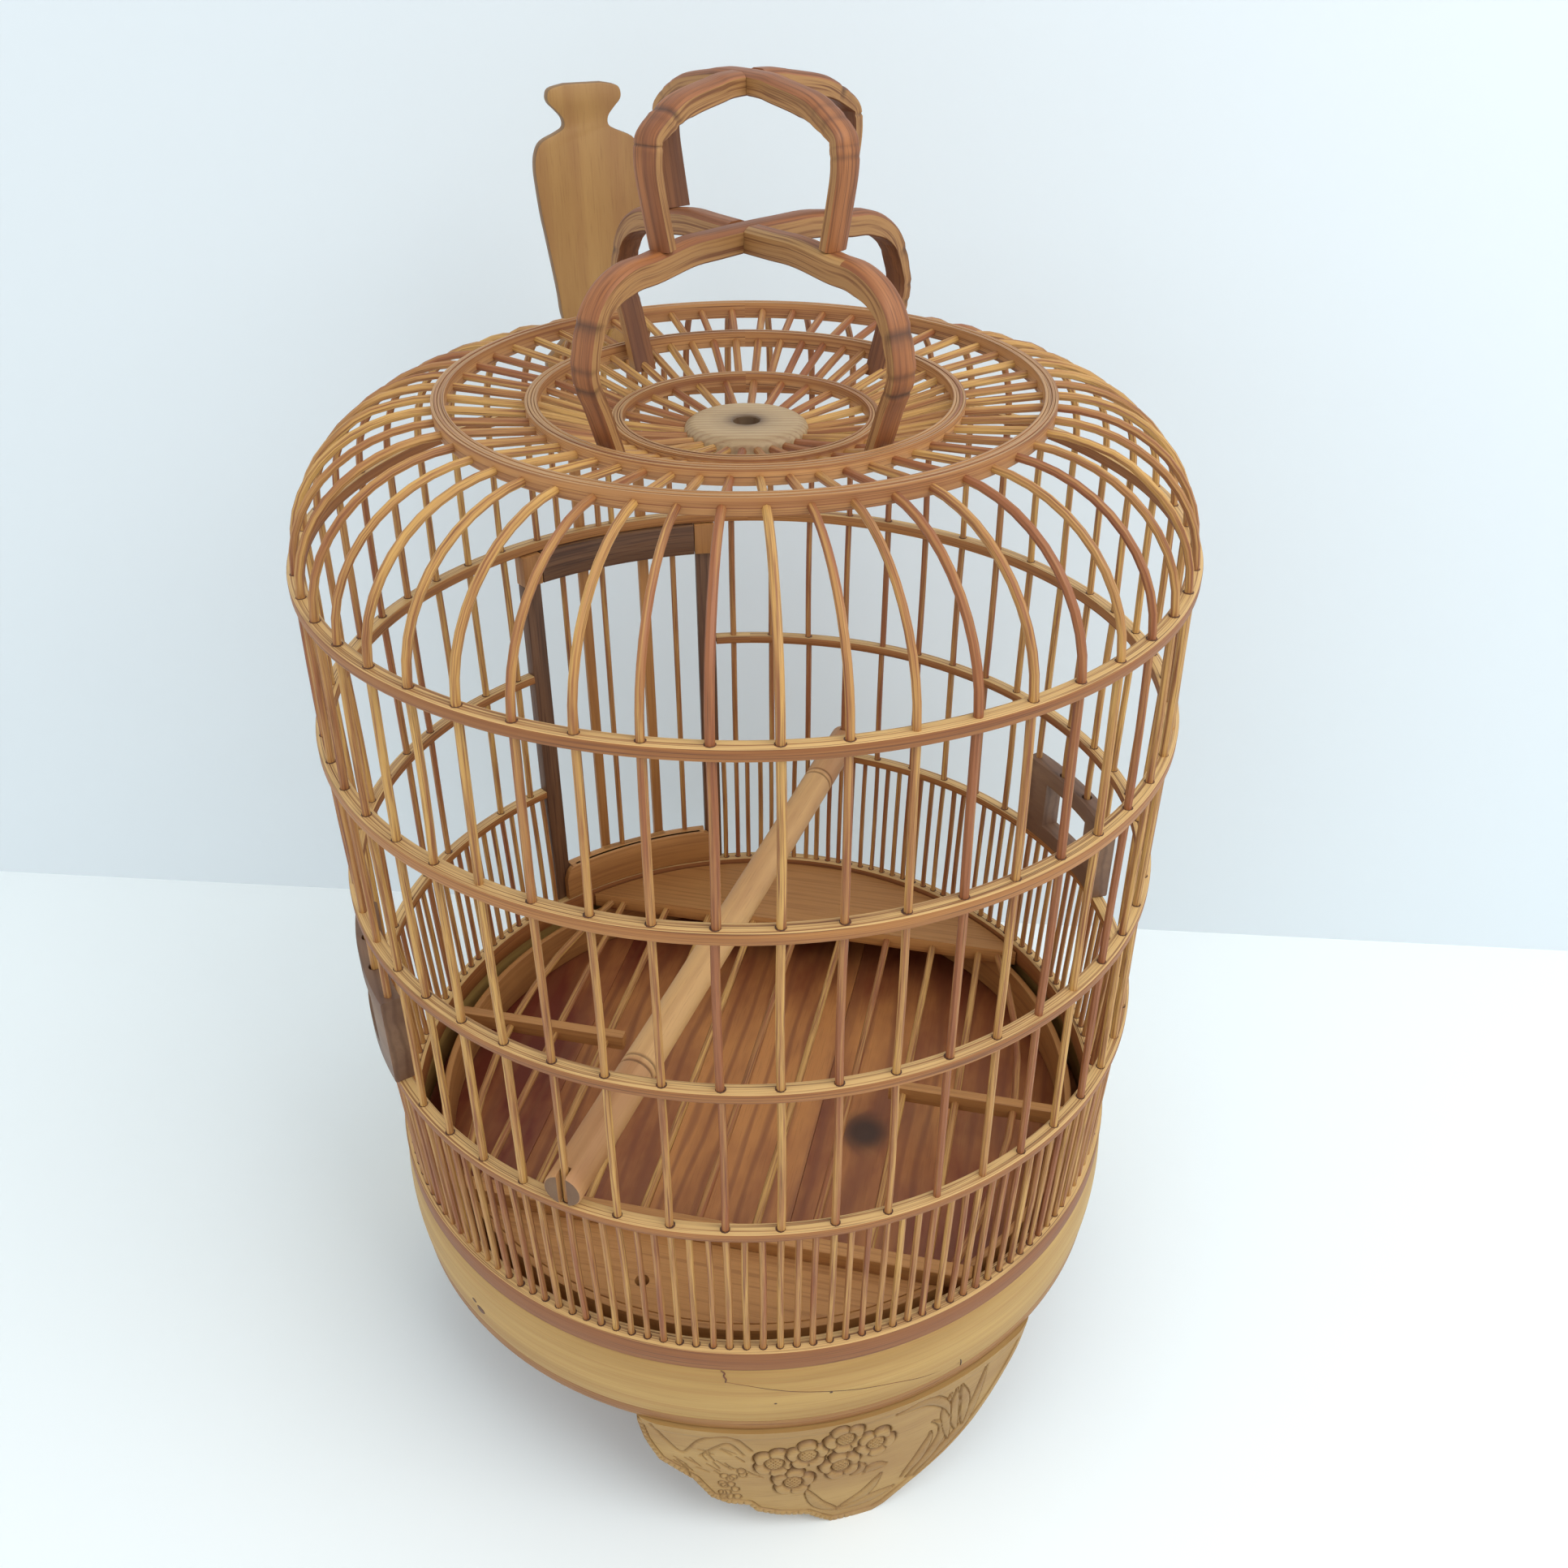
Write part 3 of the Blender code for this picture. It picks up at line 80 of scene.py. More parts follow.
def addNode(tree, kind, values=None, links=None):
    node = tree.nodes.new("ShaderNode" + kind)
    for key, value in (values or {}).items():
        if isinstance(key, int) or key in node.inputs:
            node.inputs[key].default_value = value
        else:
            setattr(node, key, value)
    for key, output in (links or {}).items():
        tree.links.new(output, node.inputs[key])
    return node


def startMaterial(name):
    material = bpy.data.materials.new(name)
    material.use_nodes = True
    tree = material.node_tree
    tree.nodes.clear()
    return material, tree


def attribute(tree, name, output="Fac"):
    return addNode(tree, "Attribute", {"attribute_name": name}).outputs[output]


# Noise drawn out along the fibres, from the width and the length of its streaks in mm.
def fibres(tree, grain, size, look):
    width, length = (value * mm for value in size)
    drawn = addNode(tree, "Mapping", {"Scale": (1 / width, 1 / width, 1 / length)}, {"Vector": grain})
    noise = {"Scale": 1.0, "Detail": look["detail"], "Roughness": look["grit"]}
    return addNode(tree, "TexNoise", noise, {"Vector": drawn.outputs[0]}).outputs["Fac"]


def ramp(tree, value, low, high, most=1.0, least=0.0):
    span = {"From Min": low, "From Max": high, "To Min": least, "To Max": most}
    return addNode(tree, "MapRange", span, {"Value": value}).outputs[0]


def total(tree, first, second, clamped=False):
    return addNode(tree, "Math", {"operation": "ADD", "use_clamp": clamped}, {0: first, 1: second}).outputs[0]


def covered(tree, under, share, colour):
    return addNode(tree, "Mix", {"data_type": "RGBA", 7: linear(colour)}, {0: share, 6: under}).outputs[2]


# The bare material drifts between two shades, and each piece is a little lighter or darker.
def bareColour(tree, look, cloud, tint):
    shade = total(tree, ramp(tree, cloud, 0.3, 0.7), tint, True)
    ends = {"data_type": "RGBA", 6: linear(look["light"]), 7: linear(look["deep"])}
    return addNode(tree, "Mix", ends, {0: shade}).outputs[2]


def addSurface(tree, look, colour, grit, relief):
    rough = ramp(tree, grit, 0.0, 1.0, look["roughness"] + look["rougher"], look["roughness"] - 0.08)
    bump = addNode(tree, "Bump", {"Strength": 0.5, "Distance": look["relief"] * mm}, {"Height": relief})
    fixed = {"IOR": 1.5, "Coat Weight": look["coat"], "Coat Roughness": look["coatRoughness"]}
    varied = {"Base Color": colour, "Roughness": rough, "Normal": bump.outputs[0]}
    shader = addNode(tree, "BsdfPrincipled", fixed, varied)
    addNode(tree, "OutputMaterial", links={"Surface": shader.outputs[0]})


# Bamboo is split into strips and drawn or planed. It shows long straight fibres, fine dark bundles, and no
# rings.
def bambooFinish(name, look):
    material, tree = startMaterial(name)
    grain = attribute(tree, "grain", "Vector")
    cloud, streak, line = (fibres(tree, grain, look[layer], look) for layer in ("cloud", "streak", "line"))
    colour = bareColour(tree, look, cloud, attribute(tree, "tint"))
    colour = covered(tree, colour, attribute(tree, "upperFace"), look["upper"])
    colour = covered(tree, colour, ramp(tree, streak, 0.48, 0.66, look["streakShare"]), look["streakColour"])
    colour = covered(tree, colour, ramp(tree, line, 0.56, 0.68, look["lineShare"]), look["lineColour"])
    # The mark attribute darkens the handle's cane joints, and paints shade with dirt on its inner faces.
    colour = covered(tree, colour, attribute(tree, "mark"), look["markColour"])
    addSurface(tree, look, colour, streak, total(tree, streak, line))
    return material


# Sawn wood shows growth bands that wander along the board and round a knot, with pores between them. The
# planks darken towards their rim under the cage's wall: painted shade, with some stain.
def boardFinish(name, look):
    material, tree = startMaterial(name)
    grain = attribute(tree, "grain", "Vector")
    place = addNode(tree, "TexCoord").outputs["Object"]
    knotPlace = [value * mm for value in look["knot"]]
    away = addNode(tree, "VectorMath", {"operation": "DISTANCE", 1: knotPlace}, {0: place}).outputs["Value"]
    reach = look["knotRadius"] * mm
    fade = {
        "interpolation_type": "SMOOTHSTEP", "From Min": 0.25 * reach, "From Max": reach, "To Min": 1.0,
        "To Max": 0.0,
    }
    knot = addNode(tree, "MapRange", fade, {"Value": away}).outputs[0]
    aside = addNode(tree, "Math", {"operation": "MULTIPLY", 1: look["knotPush"] * mm}, {0: knot})
    pushed = addNode(tree, "CombineXYZ", links={"X": aside.outputs[0]})
    bent = addNode(tree, "VectorMath", {"operation": "ADD"}, {0: grain, 1: pushed.outputs[0]})
    stretched = addNode(tree, "Mapping", {"Scale": (1, 1, look["bandRun"])}, {"Vector": bent.outputs[0]})
    wave = {
        "wave_type": "BANDS", "bands_direction": "X", "Scale": waveLength / (look["band"] * mm),
        "Distortion": look["wander"], "Detail": 3.0, "Detail Scale": 0.6, "Detail Roughness": 0.6,
    }
    bands = addNode(tree, "TexWave", wave, {"Vector": stretched.outputs[0]}).outputs["Fac"]
    cloud, pore = (fibres(tree, grain, look[layer], look) for layer in ("cloud", "pore"))
    centre = addNode(tree, "VectorMath", {"operation": "MULTIPLY", 1: (1, 1, 0)}, {0: place})
    outward = addNode(tree, "VectorMath", {"operation": "LENGTH"}, {0: centre.outputs[0]})
    # Painted shade under the cage's wall, with some stain: the planks darken towards their rim.
    rim = ramp(tree, outward.outputs["Value"], 80 * mm, 155 * mm, look["rimShadeAndStain"])
    colour = bareColour(tree, look, cloud, total(tree, rim, attribute(tree, "tint")))
    colour = covered(tree, colour, ramp(tree, bands, 0.55, 1.0, look["bandShare"]), look["bandColour"])
    colour = covered(tree, colour, ramp(tree, pore, 0.55, 0.7, look["poreShare"]), look["poreColour"])
    # The mark attribute darkens stains and end grain, and paints shade into the feet's carved grooves.
    darkest = addNode(tree, "Math", {"operation": "MAXIMUM"}, {0: knot, 1: attribute(tree, "mark")})
    colour = covered(tree, colour, darkest.outputs[0], look["markColour"])
    addSurface(tree, look, colour, pore, total(tree, pore, bands))
    return material


# Widths and lengths of the pattern's parts are in mm. Real fibre bundles are 0.2 mm wide, and are drawn wider
# to show.
bambooLook = {
    "light": "#C8974F", "deep": "#A3683A", "upper": "#CCA768", "streakColour": "#80482A", "streakShare": 0.85,
    "lineColour": "#63391D", "lineShare": 0.65, "markColour": "#452816", "cloud": (1.8, 60),
    "streak": (0.9, 34), "line": (0.4, 26), "roughness": 0.55, "rougher": 0.12, "relief": 0.12, "coat": 0.03,
    "coatRoughness": 0.35, "detail": 3.0, "grit": 0.55,
}
woodLook = {
    "light": "#BE9560", "deep": "#A67A48", "bandColour": "#8A5C35", "bandShare": 0.4, "poreColour": "#6E4628",
    "poreShare": 0.35, "markColour": "#452A18", "band": 4.0, "bandRun": 0.08, "wander": 5.0,
    "cloud": (20, 120), "pore": (0.6, 16), "roughness": 0.55, "rougher": 0.1, "relief": 0.1, "coat": 0.06,
    "coatRoughness": 0.4, "detail": 4.0, "grit": 0.6, "knot": (0, 0, -900), "knotRadius": 1.0,
    "knotPush": 12.0, "rimShadeAndStain": 0.0,
}
waveLength = 0.314  # in m, of a wave texture at scale 1
bambooLooks = {
    # drawn round rods, golden with red-brown streaks
    "rodBamboo": {"light": "#C79A55", "deep": "#955A32"},
    # bent strips on edge: the sawn top is pale and the outside reddish, with fine lines along it
    "hoopBamboo": {
        "light": "#AE763C", "deep": "#8C5526", "upper": "#D2AC70", "streakColour": "#824C26",
        "lineShare": 0.9, "cloud": (3, 120), "streak": (0.6, 110), "line": (0.5, 80),
    },
    # thin strips glued one inside the other
    "ringBamboo": {
        "light": "#C08C55", "deep": "#A06C3C", "upper": "#B0875A", "lineShare": 0.8, "cloud": (3, 120),
        "streak": (0.6, 110), "line": (0.5, 80),
    },
    # wide planed strip, the palest piece
    "bandBamboo": {
        "light": "#BF9A57", "deep": "#A67F41", "upper": "#B8945F", "streakColour": "#A5743F",
        "streakShare": 0.4, "lineShare": 0.15, "cloud": (12, 170), "streak": (1.2, 120),
    },
    # the thin strip under it, browner
    "bandEdge": {
        "light": "#B58A4C", "deep": "#96693A", "streakShare": 0.6, "cloud": (6, 120), "streak": (0.7, 90),
    },
    # handle stock, heated and bent, which turns it orange brown; pale where its skin is cut away
    "handleBamboo": {
        "light": "#A86A38", "deep": "#7A4524", "upper": "#AE8550", "streakColour": "#6E3F20",
        "lineShare": 0.75, "cloud": (4, 70),
    },
    # boards of the floor grille and the door
    "boardBamboo": {
        "light": "#BC864B", "deep": "#9E6B38", "upper": "#B8834A", "streakColour": "#875630",
        "streakShare": 0.45, "lineShare": 0.25, "cloud": (12, 90), "streak": (1.6, 70),
    },
    # boards of the doorway, weathered, and darkened with painted shade as the doorway is backlit
    "postBamboo": {
        "light": "#765235", "deep": "#573A26", "upper": "#7E5D40", "streakColour": "#472C1C",
        "cloud": (4, 70),
    },
    # painted shade in the rims of the bars' holes, and dark stain in the band's joints and knots
    "holeShadeAndStain": {"light": "#54361F", "deep": "#40281A", "upper": "#4C301E"},
}
woodLooks = {
    # carved soft wood of the feet; its mark colour is the painted shade in the carving's grooves
    "footWood": {"light": "#B28F55", "deep": "#9C7742", "bandShare": 0.2, "markColour": "#5E3A1C"},
    # reddish cedar planks with one dark knot, darker at their rim with painted shade and some stain
    "trayCedar": {
        "light": "#C58548", "deep": "#742F1C", "bandColour": "#80482A", "bandShare": 0.6, "band": 11.0,
        "bandRun": 0.16, "wander": 14.0, "cloud": (34, 90), "poreShare": 0.3, "knot": (52.0, -20.3, 85.3),
        "knotRadius": 17.0, "rimShadeAndStain": 0.45, "coat": 0.2,
    },
    # one broad board with few bands
    "plateWood": {"light": "#A88049", "deep": "#93693A", "band": 16.0, "bandShare": 0.3, "wander": 9.0},
    # pale dense stick, smooth from the lathe
    "perchWood": {
        "light": "#CB9E66", "deep": "#B07E50", "band": 9.0, "bandRun": 0.1, "bandShare": 0.2,
        "poreShare": 0.2,
    },
    # whitish wood with close rings
    "discWood": {"light": "#C2A880", "deep": "#A98C64", "band": 2.5},
    # grey brown wood, darkened by handling
    "feederWood": {"light": "#87684E", "deep": "#684A38", "bandColour": "#4C3022"},
}
materials = {name: bambooFinish(name, {**bambooLook, **look}) for name, look in bambooLooks.items()}
materials.update({name: boardFinish(name, {**woodLook, **look}) for name, look in woodLooks.items()})
print("finishes made")


# The name of a node's piece, such as doorPostLeft for door_post_left.
def nameOf(node):
    first, *others = node.split("_")
    return first + "".join(word.capitalize() for word in others)


def choose(piece):
    bpy.ops.object.select_all(action="DESELECT")
    piece.select_set(True)
    bpy.context.view_layer.objects.active = piece


def newest(name):
    piece = bpy.context.object
    piece.name = name
    piece.data.name = name
    choose(piece)
    return piece


def applyPlace():
    bpy.ops.object.transform_apply(location=True, rotation=True, scale=True)


def startEdit():
    bpy.ops.object.mode_set(mode="EDIT")
    bpy.ops.mesh.select_all(action="SELECT")


# Turns all faces outwards.
def finishEdit():
    bpy.ops.mesh.select_all(action="SELECT")
    bpy.ops.mesh.normals_make_consistent(inside=False)
    bpy.ops.object.mode_set(mode="OBJECT")


def pick(piece, kind, test):
    bpy.ops.mesh.select_mode(type={"verts": "VERT", "edges": "EDGE", "faces": "FACE"}[kind])
    bpy.ops.mesh.select_all(action="DESELECT")
    shape = bmesh.from_edit_mesh(piece.data)
    for part in getattr(shape, kind):
        if test(part):
            part.select_set(True)
    shape.select_flush_mode()
    bmesh.update_edit_mesh(piece.data)


def heading(azimuth):
    turn = math.radians(azimuth)
    return Vector((math.sin(turn), -math.cos(turn), 0))


# A place round the upright axis, from its radius and height in mm.
def polar(azimuth, radius, height):
    turn = math.radians(azimuth)
    radius *= mm
    return Vector((radius * math.sin(turn), -radius * math.cos(turn), height * mm))


def inMetres(values):
    return [value * mm for value in values]


def azimuthOf(x, y):
    return np.arctan2(x, -y)


def pointsOf(mesh):
    points = np.empty(len(mesh.vertices) * 3)
    mesh.vertices.foreach_get("co", points)
    return points.reshape(-1, 3)


def movePoints(mesh, points):
    mesh.vertices.foreach_set("co", np.asarray(points, float).ravel())
    mesh.update()


def turnTo(piece, azimuth):
    piece.data.transform(Matrix.Rotation(math.radians(azimuth), 4, "Z"))
    return piece


def cornersOf(mesh):
    indices = np.empty(len(mesh.loops), np.int32)
    mesh.loops.foreach_get("vertex_index", indices)
    counts = np.empty(len(mesh.polygons), np.int32)
    mesh.polygons.foreach_get("loop_total", counts)
    centres = np.empty(len(mesh.polygons) * 3)
    mesh.polygons.foreach_get("center", centres)
    normals = np.empty(len(mesh.polygons) * 3)
    mesh.polygons.foreach_get("normal", normals)
    spread = [np.repeat(values.reshape(-1, 3), counts, axis=0) for values in (centres, normals)]
    return pointsOf(mesh)[indices], spread[0], spread[1], indices


def store(mesh, name, values):
    values = np.asarray(values, float)
    kind, key = ("FLOAT_VECTOR", "vector") if values.ndim == 2 else ("FLOAT", "value")
    found = mesh.attributes.get(name) or mesh.attributes.new(name, kind, "CORNER")
    found.data.foreach_set(key, values.ravel())


# Keeps each piece's own grain: its coordinates before it is bent or placed, the fibres along the third one.
def keep(mesh, grain, tint, upperFace, piece=None):
    store(mesh, "grain", grain + [chance.uniform(0, 3) for axis in range(3)])
    store(mesh, "tint", np.full(len(grain), tint))
    store(mesh, "upperFace", upperFace)
    return piece


def grainAlong(piece, axis, tint=0.0):
    corners, centres, normals, indices = cornersOf(piece.data)
    order = [other for other in range(3) if other != axis] + [axis]
    return keep(piece.data, corners[:, order], tint, normals[:, 2] > 0.7, piece)


def grainRound(piece, tint=0.0):
    corners, centres, normals, indices = cornersOf(piece.data)
    radius = np.hypot(corners[:, 0], corners[:, 1])
    turn = azimuthOf(corners[:, 0], corners[:, 1])
    faceTurn = azimuthOf(centres[:, 0], centres[:, 1])
    turn = faceTurn + (turn - faceTurn + math.pi) % (2 * math.pi) - math.pi
    grain = np.stack([radius, corners[:, 2], turn * radius.mean()], axis=1)
    return keep(piece.data, grain, tint, normals[:, 2] > 0.7, piece)


# Stains a piece from each corner's place and its face's normal.
def stain(piece, amount):
    corners, centres, normals, indices = cornersOf(piece.data)
    store(piece.data, "mark", amount(corners, normals))


def easeEdges(piece, width, segments=2, angle=40):
    choose(piece)
    bevel = piece.modifiers.new("eased", "BEVEL")
    bevel.width = width
    bevel.segments = segments
    bevel.limit_method = "ANGLE"
    bevel.angle_limit = math.radians(angle)
    bpy.ops.object.modifier_apply(modifier=bevel.name)
    return piece


def cutWith(piece, tool):
    choose(piece)
    cutter = piece.modifiers.new("cut", "BOOLEAN")
    cutter.object = tool
    cutter.operation = "DIFFERENCE"
    bpy.ops.object.modifier_apply(modifier=cutter.name)
    bpy.data.objects.remove(tool)
    return piece


def joined(name, pieces):
    bpy.ops.object.select_all(action="DESELECT")
    for piece in pieces:
        piece.select_set(True)
    bpy.context.view_layer.objects.active = pieces[0]
    bpy.ops.object.join()
    return newest(name)


def copyOf(piece, name):
    made = piece.copy()
    made.data = piece.data.copy()
    made.name = name
    bpy.context.collection.objects.link(made)
    return made


# Gives a piece its finish, its body and the nodes that it stands for.
def dress(piece, finish, slot, body, *nodes):
    choose(piece)
    bpy.ops.object.shade_smooth_by_angle(angle=cage["smoothAngle"])
    piece.data.materials.clear()
    piece.data.materials.append(materials[finish])
    if nodes:
        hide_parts(*nodes)
    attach(piece, body)
    return piece


def box(name, middle, size, turn=0.0):
    bpy.ops.mesh.primitive_cube_add(size=1, location=middle, scale=size, rotation=(0, 0, turn))
    piece = newest(name)
    applyPlace()
    return piece


# A block between two corners in mm, with its edges eased.
def block(name, low, high, ease, segments=2):
    low, high = inMetres(low), inMetres(high)
    middle = [(a + b) / 2 for a, b in zip(low, high)]
    return easeEdges(box(name, middle, [b - a for a, b in zip(low, high)]), ease * mm, segments)


# Turns a ring of points into a closed outline.
def outlined(name, points):
    bpy.ops.mesh.primitive_circle_add(vertices=len(points), radius=1)
    piece = newest(name)
    movePoints(piece.data, points)
    startEdit()
    return piece


# Fills an outline and pushes it out to a solid.
def solidFrom(name, points, push):
    piece = outlined(name, points)
    bpy.ops.mesh.edge_face_add()
    bpy.ops.mesh.extrude_region_move(TRANSFORM_OT_translate={"value": push})
    finishEdit()
    return piece


# Cuts the edges that run along Z into more parts.
def divideLength(piece, cuts):
    startEdit()
    pick(piece, "edges", lambda edge: abs(edge.verts[0].co.z - edge.verts[1].co.z) > 0.5)
    bpy.ops.mesh.subdivide(number_cuts=cuts)
    bpy.ops.object.mode_set(mode="OBJECT")


# Spins a section, given as radius and height, round the upright axis. azimuth is the arc's middle.
def spun(name, section, steps, sweep=360, azimuth=0):
    piece = outlined(name, [(0, -radius, height) for radius, height in section])
    bpy.ops.mesh.spin(steps=steps, angle=math.radians(sweep), center=(0, 0, 0), axis=(0, 0, 1))
    bpy.ops.mesh.select_all(action="SELECT")
    if sweep == 360:
        bpy.ops.mesh.remove_doubles(threshold=0.005 * mm)
    else:
        bpy.ops.mesh.select_mode(type="EDGE")
        bpy.ops.mesh.select_non_manifold()
        bpy.ops.mesh.edge_face_add()
    finishEdit()
    if sweep < 360:
        middle = Vector(pointsOf(piece.data).mean(axis=0))
        turnTo(piece, azimuth - math.degrees(math.atan2(middle.x, -middle.y)))
    return piece


# Outline of a strip's section with eased corners, from its inner radius and underside. All lengths are in mm.
def stripSection(inside, low, width, height, ease, bulge=0.0, rows=1):
    inside, low, width, height, ease, bulge = inMetres((inside, low, width, height, ease, bulge))
    outline = []
    corners = (
        (inside + ease, low + ease, 180, 270), (inside + width - ease, low + ease, 270, 360),
        (inside + width - ease, low + height - ease, 0, 90), (inside + ease, low + height - ease, 90, 180),
    )
    for number, (radius, up, start, stop) in enumerate(corners):
        for turn in (start, (start + stop) / 2, stop):
            angle = math.radians(turn)
            outline.append((radius + ease * math.cos(angle), up + ease * math.sin(angle)))
        if number == 1:
            for row in range(1, rows):
                share = row / rows
                outline.append((inside + width + bulge * 4 * share * (1 - share), low + height * share))
    return outline


# A round rod of unit length along Z, its width in mm, with rings of points so that it can be bent.
def roundRod(name, width, sides, cuts):
    bpy.ops.mesh.primitive_cylinder_add(vertices=sides, radius=width / 2 * mm, depth=1, location=(0, 0, 0.5))
    piece = newest(name)
    applyPlace()
    divideLength(piece, cuts)
    return piece


# Bends a rod of unit length along a path. across is where its local X goes.
def layAlong(piece, path, across, tint=0.0, swell=None):
    mesh = piece.data
    local = pointsOf(mesh)
    length = sum((path((k + 1) / 8) - path(k / 8)).length for k in range(8))
    indices = cornersOf(mesh)[-1]
    keep(mesh, (local * [1, 1, length])[indices], tint, np.zeros(len(indices)))
    placed = []
    frames = {}
    for x, y, share in local:
        key = round(share, 5)
        if key not in frames:
            tangent = (path(min(share + 0.01, 1)) - path(max(share - 0.01, 0))).normalized()
            side = (across - tangent * across.dot(tangent)).normalized()
            frames[key] = (path(share), side, tangent.cross(side), swell(share) if swell else 1)
        centre, side, other, size = frames[key]
        placed.append(centre + side * x * size + other * y * size)
    movePoints(mesh, placed)
    return piece


# A rod laid between two places, each given as radius and height in mm.
def layBetween(one, name, azimuth, ends, tint, bow=Vector((0, 0, 0)), swell=None):
    path = straightPath(*(polar(azimuth, radius, height) for radius, height in ends), bow)
    return layAlong(copyOf(one, name), path, heading(azimuth + 90), tint, swell)


def straightPath(start, end, bow=Vector((0, 0, 0))):
    return lambda share: start.lerp(end, share) + bow * 4 * share * (1 - share)


def smoothPath(points):
    last = len(points) - 1

    def place(share):
        at = min(max(share, 0), 1) * last
        number = min(int(at), last - 1)
        t = at - number
        before = points[max(number - 1, 0)]
        first, second = points[number], points[number + 1]
        after = points[min(number + 2, last)]
        return 0.5 * (
            first * 2 + (second - before) * t + (before * 2 - first * 5 + second * 4 - after) * t ** 2
            + (first * 3 - before - second * 3 + after) * t ** 3
        )

    return place


def barAzimuth(number):
    return cage["firstBar"] + number * pitch


def awayFrom(azimuth, other):
    return abs((azimuth - other + 180) % 360 - 180)


barTints = [chance.uniform(-0.45, 0.5) for number in range(cage["barCount"])]
doorWidth = 81.2
postWidth = 9.0
postTurn = math.degrees(math.asin((doorWidth + postWidth) / 2 / hoops["upper"]["radius"]))
clearTurn = postTurn + math.degrees((postWidth / 2 + gap) / hoops["upper"]["radius"])


# Hoops: a strip bent on edge, its upper face uneven
hoopStyle = {"ease": 0.5, "steps": 208, "unevenness": 0.18}


def makeHoop(place, tint, sweep=360):
    hoop = hoops[place]
    section = stripSection(
        hoop["radius"] - hoop["width"] / 2, hoop["top"] - hoop["height"], hoop["width"], hoop["height"],
        hoopStyle["ease"],
    )
    piece = spun(place + "Hoop", section, hoopStyle["steps"], sweep, cage["door"] + 180)
    grainRound(piece, tint)
    points = pointsOf(piece.data)
    turn = azimuthOf(points[:, 0], points[:, 1])
    for waves in (3, 7, 13):
        size = hoopStyle["unevenness"] * mm / waves ** 0.5
        points[:, 2] += size * np.sin(waves * turn + chance.uniform(0, 6))
    movePoints(piece.data, points)
    dress(piece, "hoopBamboo", "golden_bamboo", "root", f"{place}_hoop")


makeHoop("base", 0.6)
makeHoop("lower", 0.0, 360 - 2 * clearTurn)
makeHoop("middle", 0.1, 360 - 2 * clearTurn)
makeHoop("upper", -0.3)
makeHoop("shoulder", 0.2)
print("hoops made")


# Bars of the wall
barStyle = {"width": 3.0, "closeWidth": 2.6, "sides": 8, "cuts": 3, "bow": 0.35, "sunk": 1.2, "lean": 0.12,
            "rim": 0.42, "rimThick": 0.24, "rimEase": 0.08}
doorStyle = {
    "thinBar": 2.8, "barShares": (-0.72, 0.17, 0.68), "barTop": 399.0, "stripWidth": 5.0, "stripDepth": 3.0,
    "stripPlace": 15.6, "stripTop": 409.0, "railHeight": 19.9, "railCorner": 7.0, "tongue": 3.3, "lap": 4.0,
    "cover": 1.4, "plateDepth": 5.0, "plateFoot": 399.0, "plateHeight": 120.0, "plateHalf": 23.7,
    "plateFootHalf": 26.0, "plateOffset": -2.5, "blockWidth": 10.0, "blockDepth": 7.8, "lintelHeight": 15.4,
    "lintelDepth": 5.4, "postDepth": 5.8, "ease": 0.5, "padEase": 0.4, "plateEase": 0.7, "faceShort": 0.25,
    "barSunk": 6.0,
}
doorRadius = (hoops["upper"]["radius"] + hoops["shoulder"]["radius"]) / 2
stripInside = doorRadius + doorStyle["cover"] + gap
stripTurn = math.degrees(math.atan(doorStyle["stripPlace"] / stripInside))
feederBars = [first + place for first in (15, -11) for place in (1, 2)]


def clearOfDoor(azimuth, width, hoop):
    return awayFrom(azimuth, cage["door"]) > clearTurn + math.degrees(width / 2 / hoop["radius"])


def layBars(name, width, places, low, high):
    one = roundRod(name + "One", width, barStyle["sides"], barStyle["cuts"])
    bars = []
    for azimuth, tint in places:
        azimuth += chance.uniform(-barStyle["lean"], barStyle["lean"])
        bow = polar(azimuth, chance.uniform(-1, 1) * barStyle["bow"], 0)
        bow += polar(azimuth + 90, chance.uniform(-1, 1) * barStyle["bow"], 0)
        size = chance.uniform(0.93, 1.06)
        bars.append(layBetween(one, name, azimuth, (low, high), tint, bow, lambda share: size))
    bpy.data.objects.remove(one)
    return joined(name, bars)


# Small dark rings where the bars and ribs enter a hoop: painted shade in the rims of the holes.
def layShadeRims(name, width, places, hoop):
    bpy.ops.mesh.primitive_cylinder_add(
        vertices=10, radius=(width / 2 + barStyle["rim"]) * mm, depth=barStyle["rimThick"] * mm
    )
    one = newest(name + "One")
    easeEdges(one, barStyle["rimEase"] * mm, 1)
    grainAlong(one, 2)
    rims = []
    for azimuth, tint in places:
        rim = copyOf(one, name)
        rim.data.transform(Matrix.Translation(polar(azimuth, hoop["radius"], hoop["top"])))
        rims.append(rim)
    bpy.data.objects.remove(one)
    dress(joined(name, rims), "holeShadeAndStain", "golden_bamboo", "root")


def tier(name, width, places, lower, upper):
    low = (lower["radius"], lower["top"] - barStyle["sunk"])
    high = (upper["radius"], upper["top"] - upper["height"] + barStyle["sunk"])
    dress(layBars(name, width, places, low, high), "rodBamboo", "golden_bamboo", "root")
    layShadeRims(name + "Rims", width, places, lower)


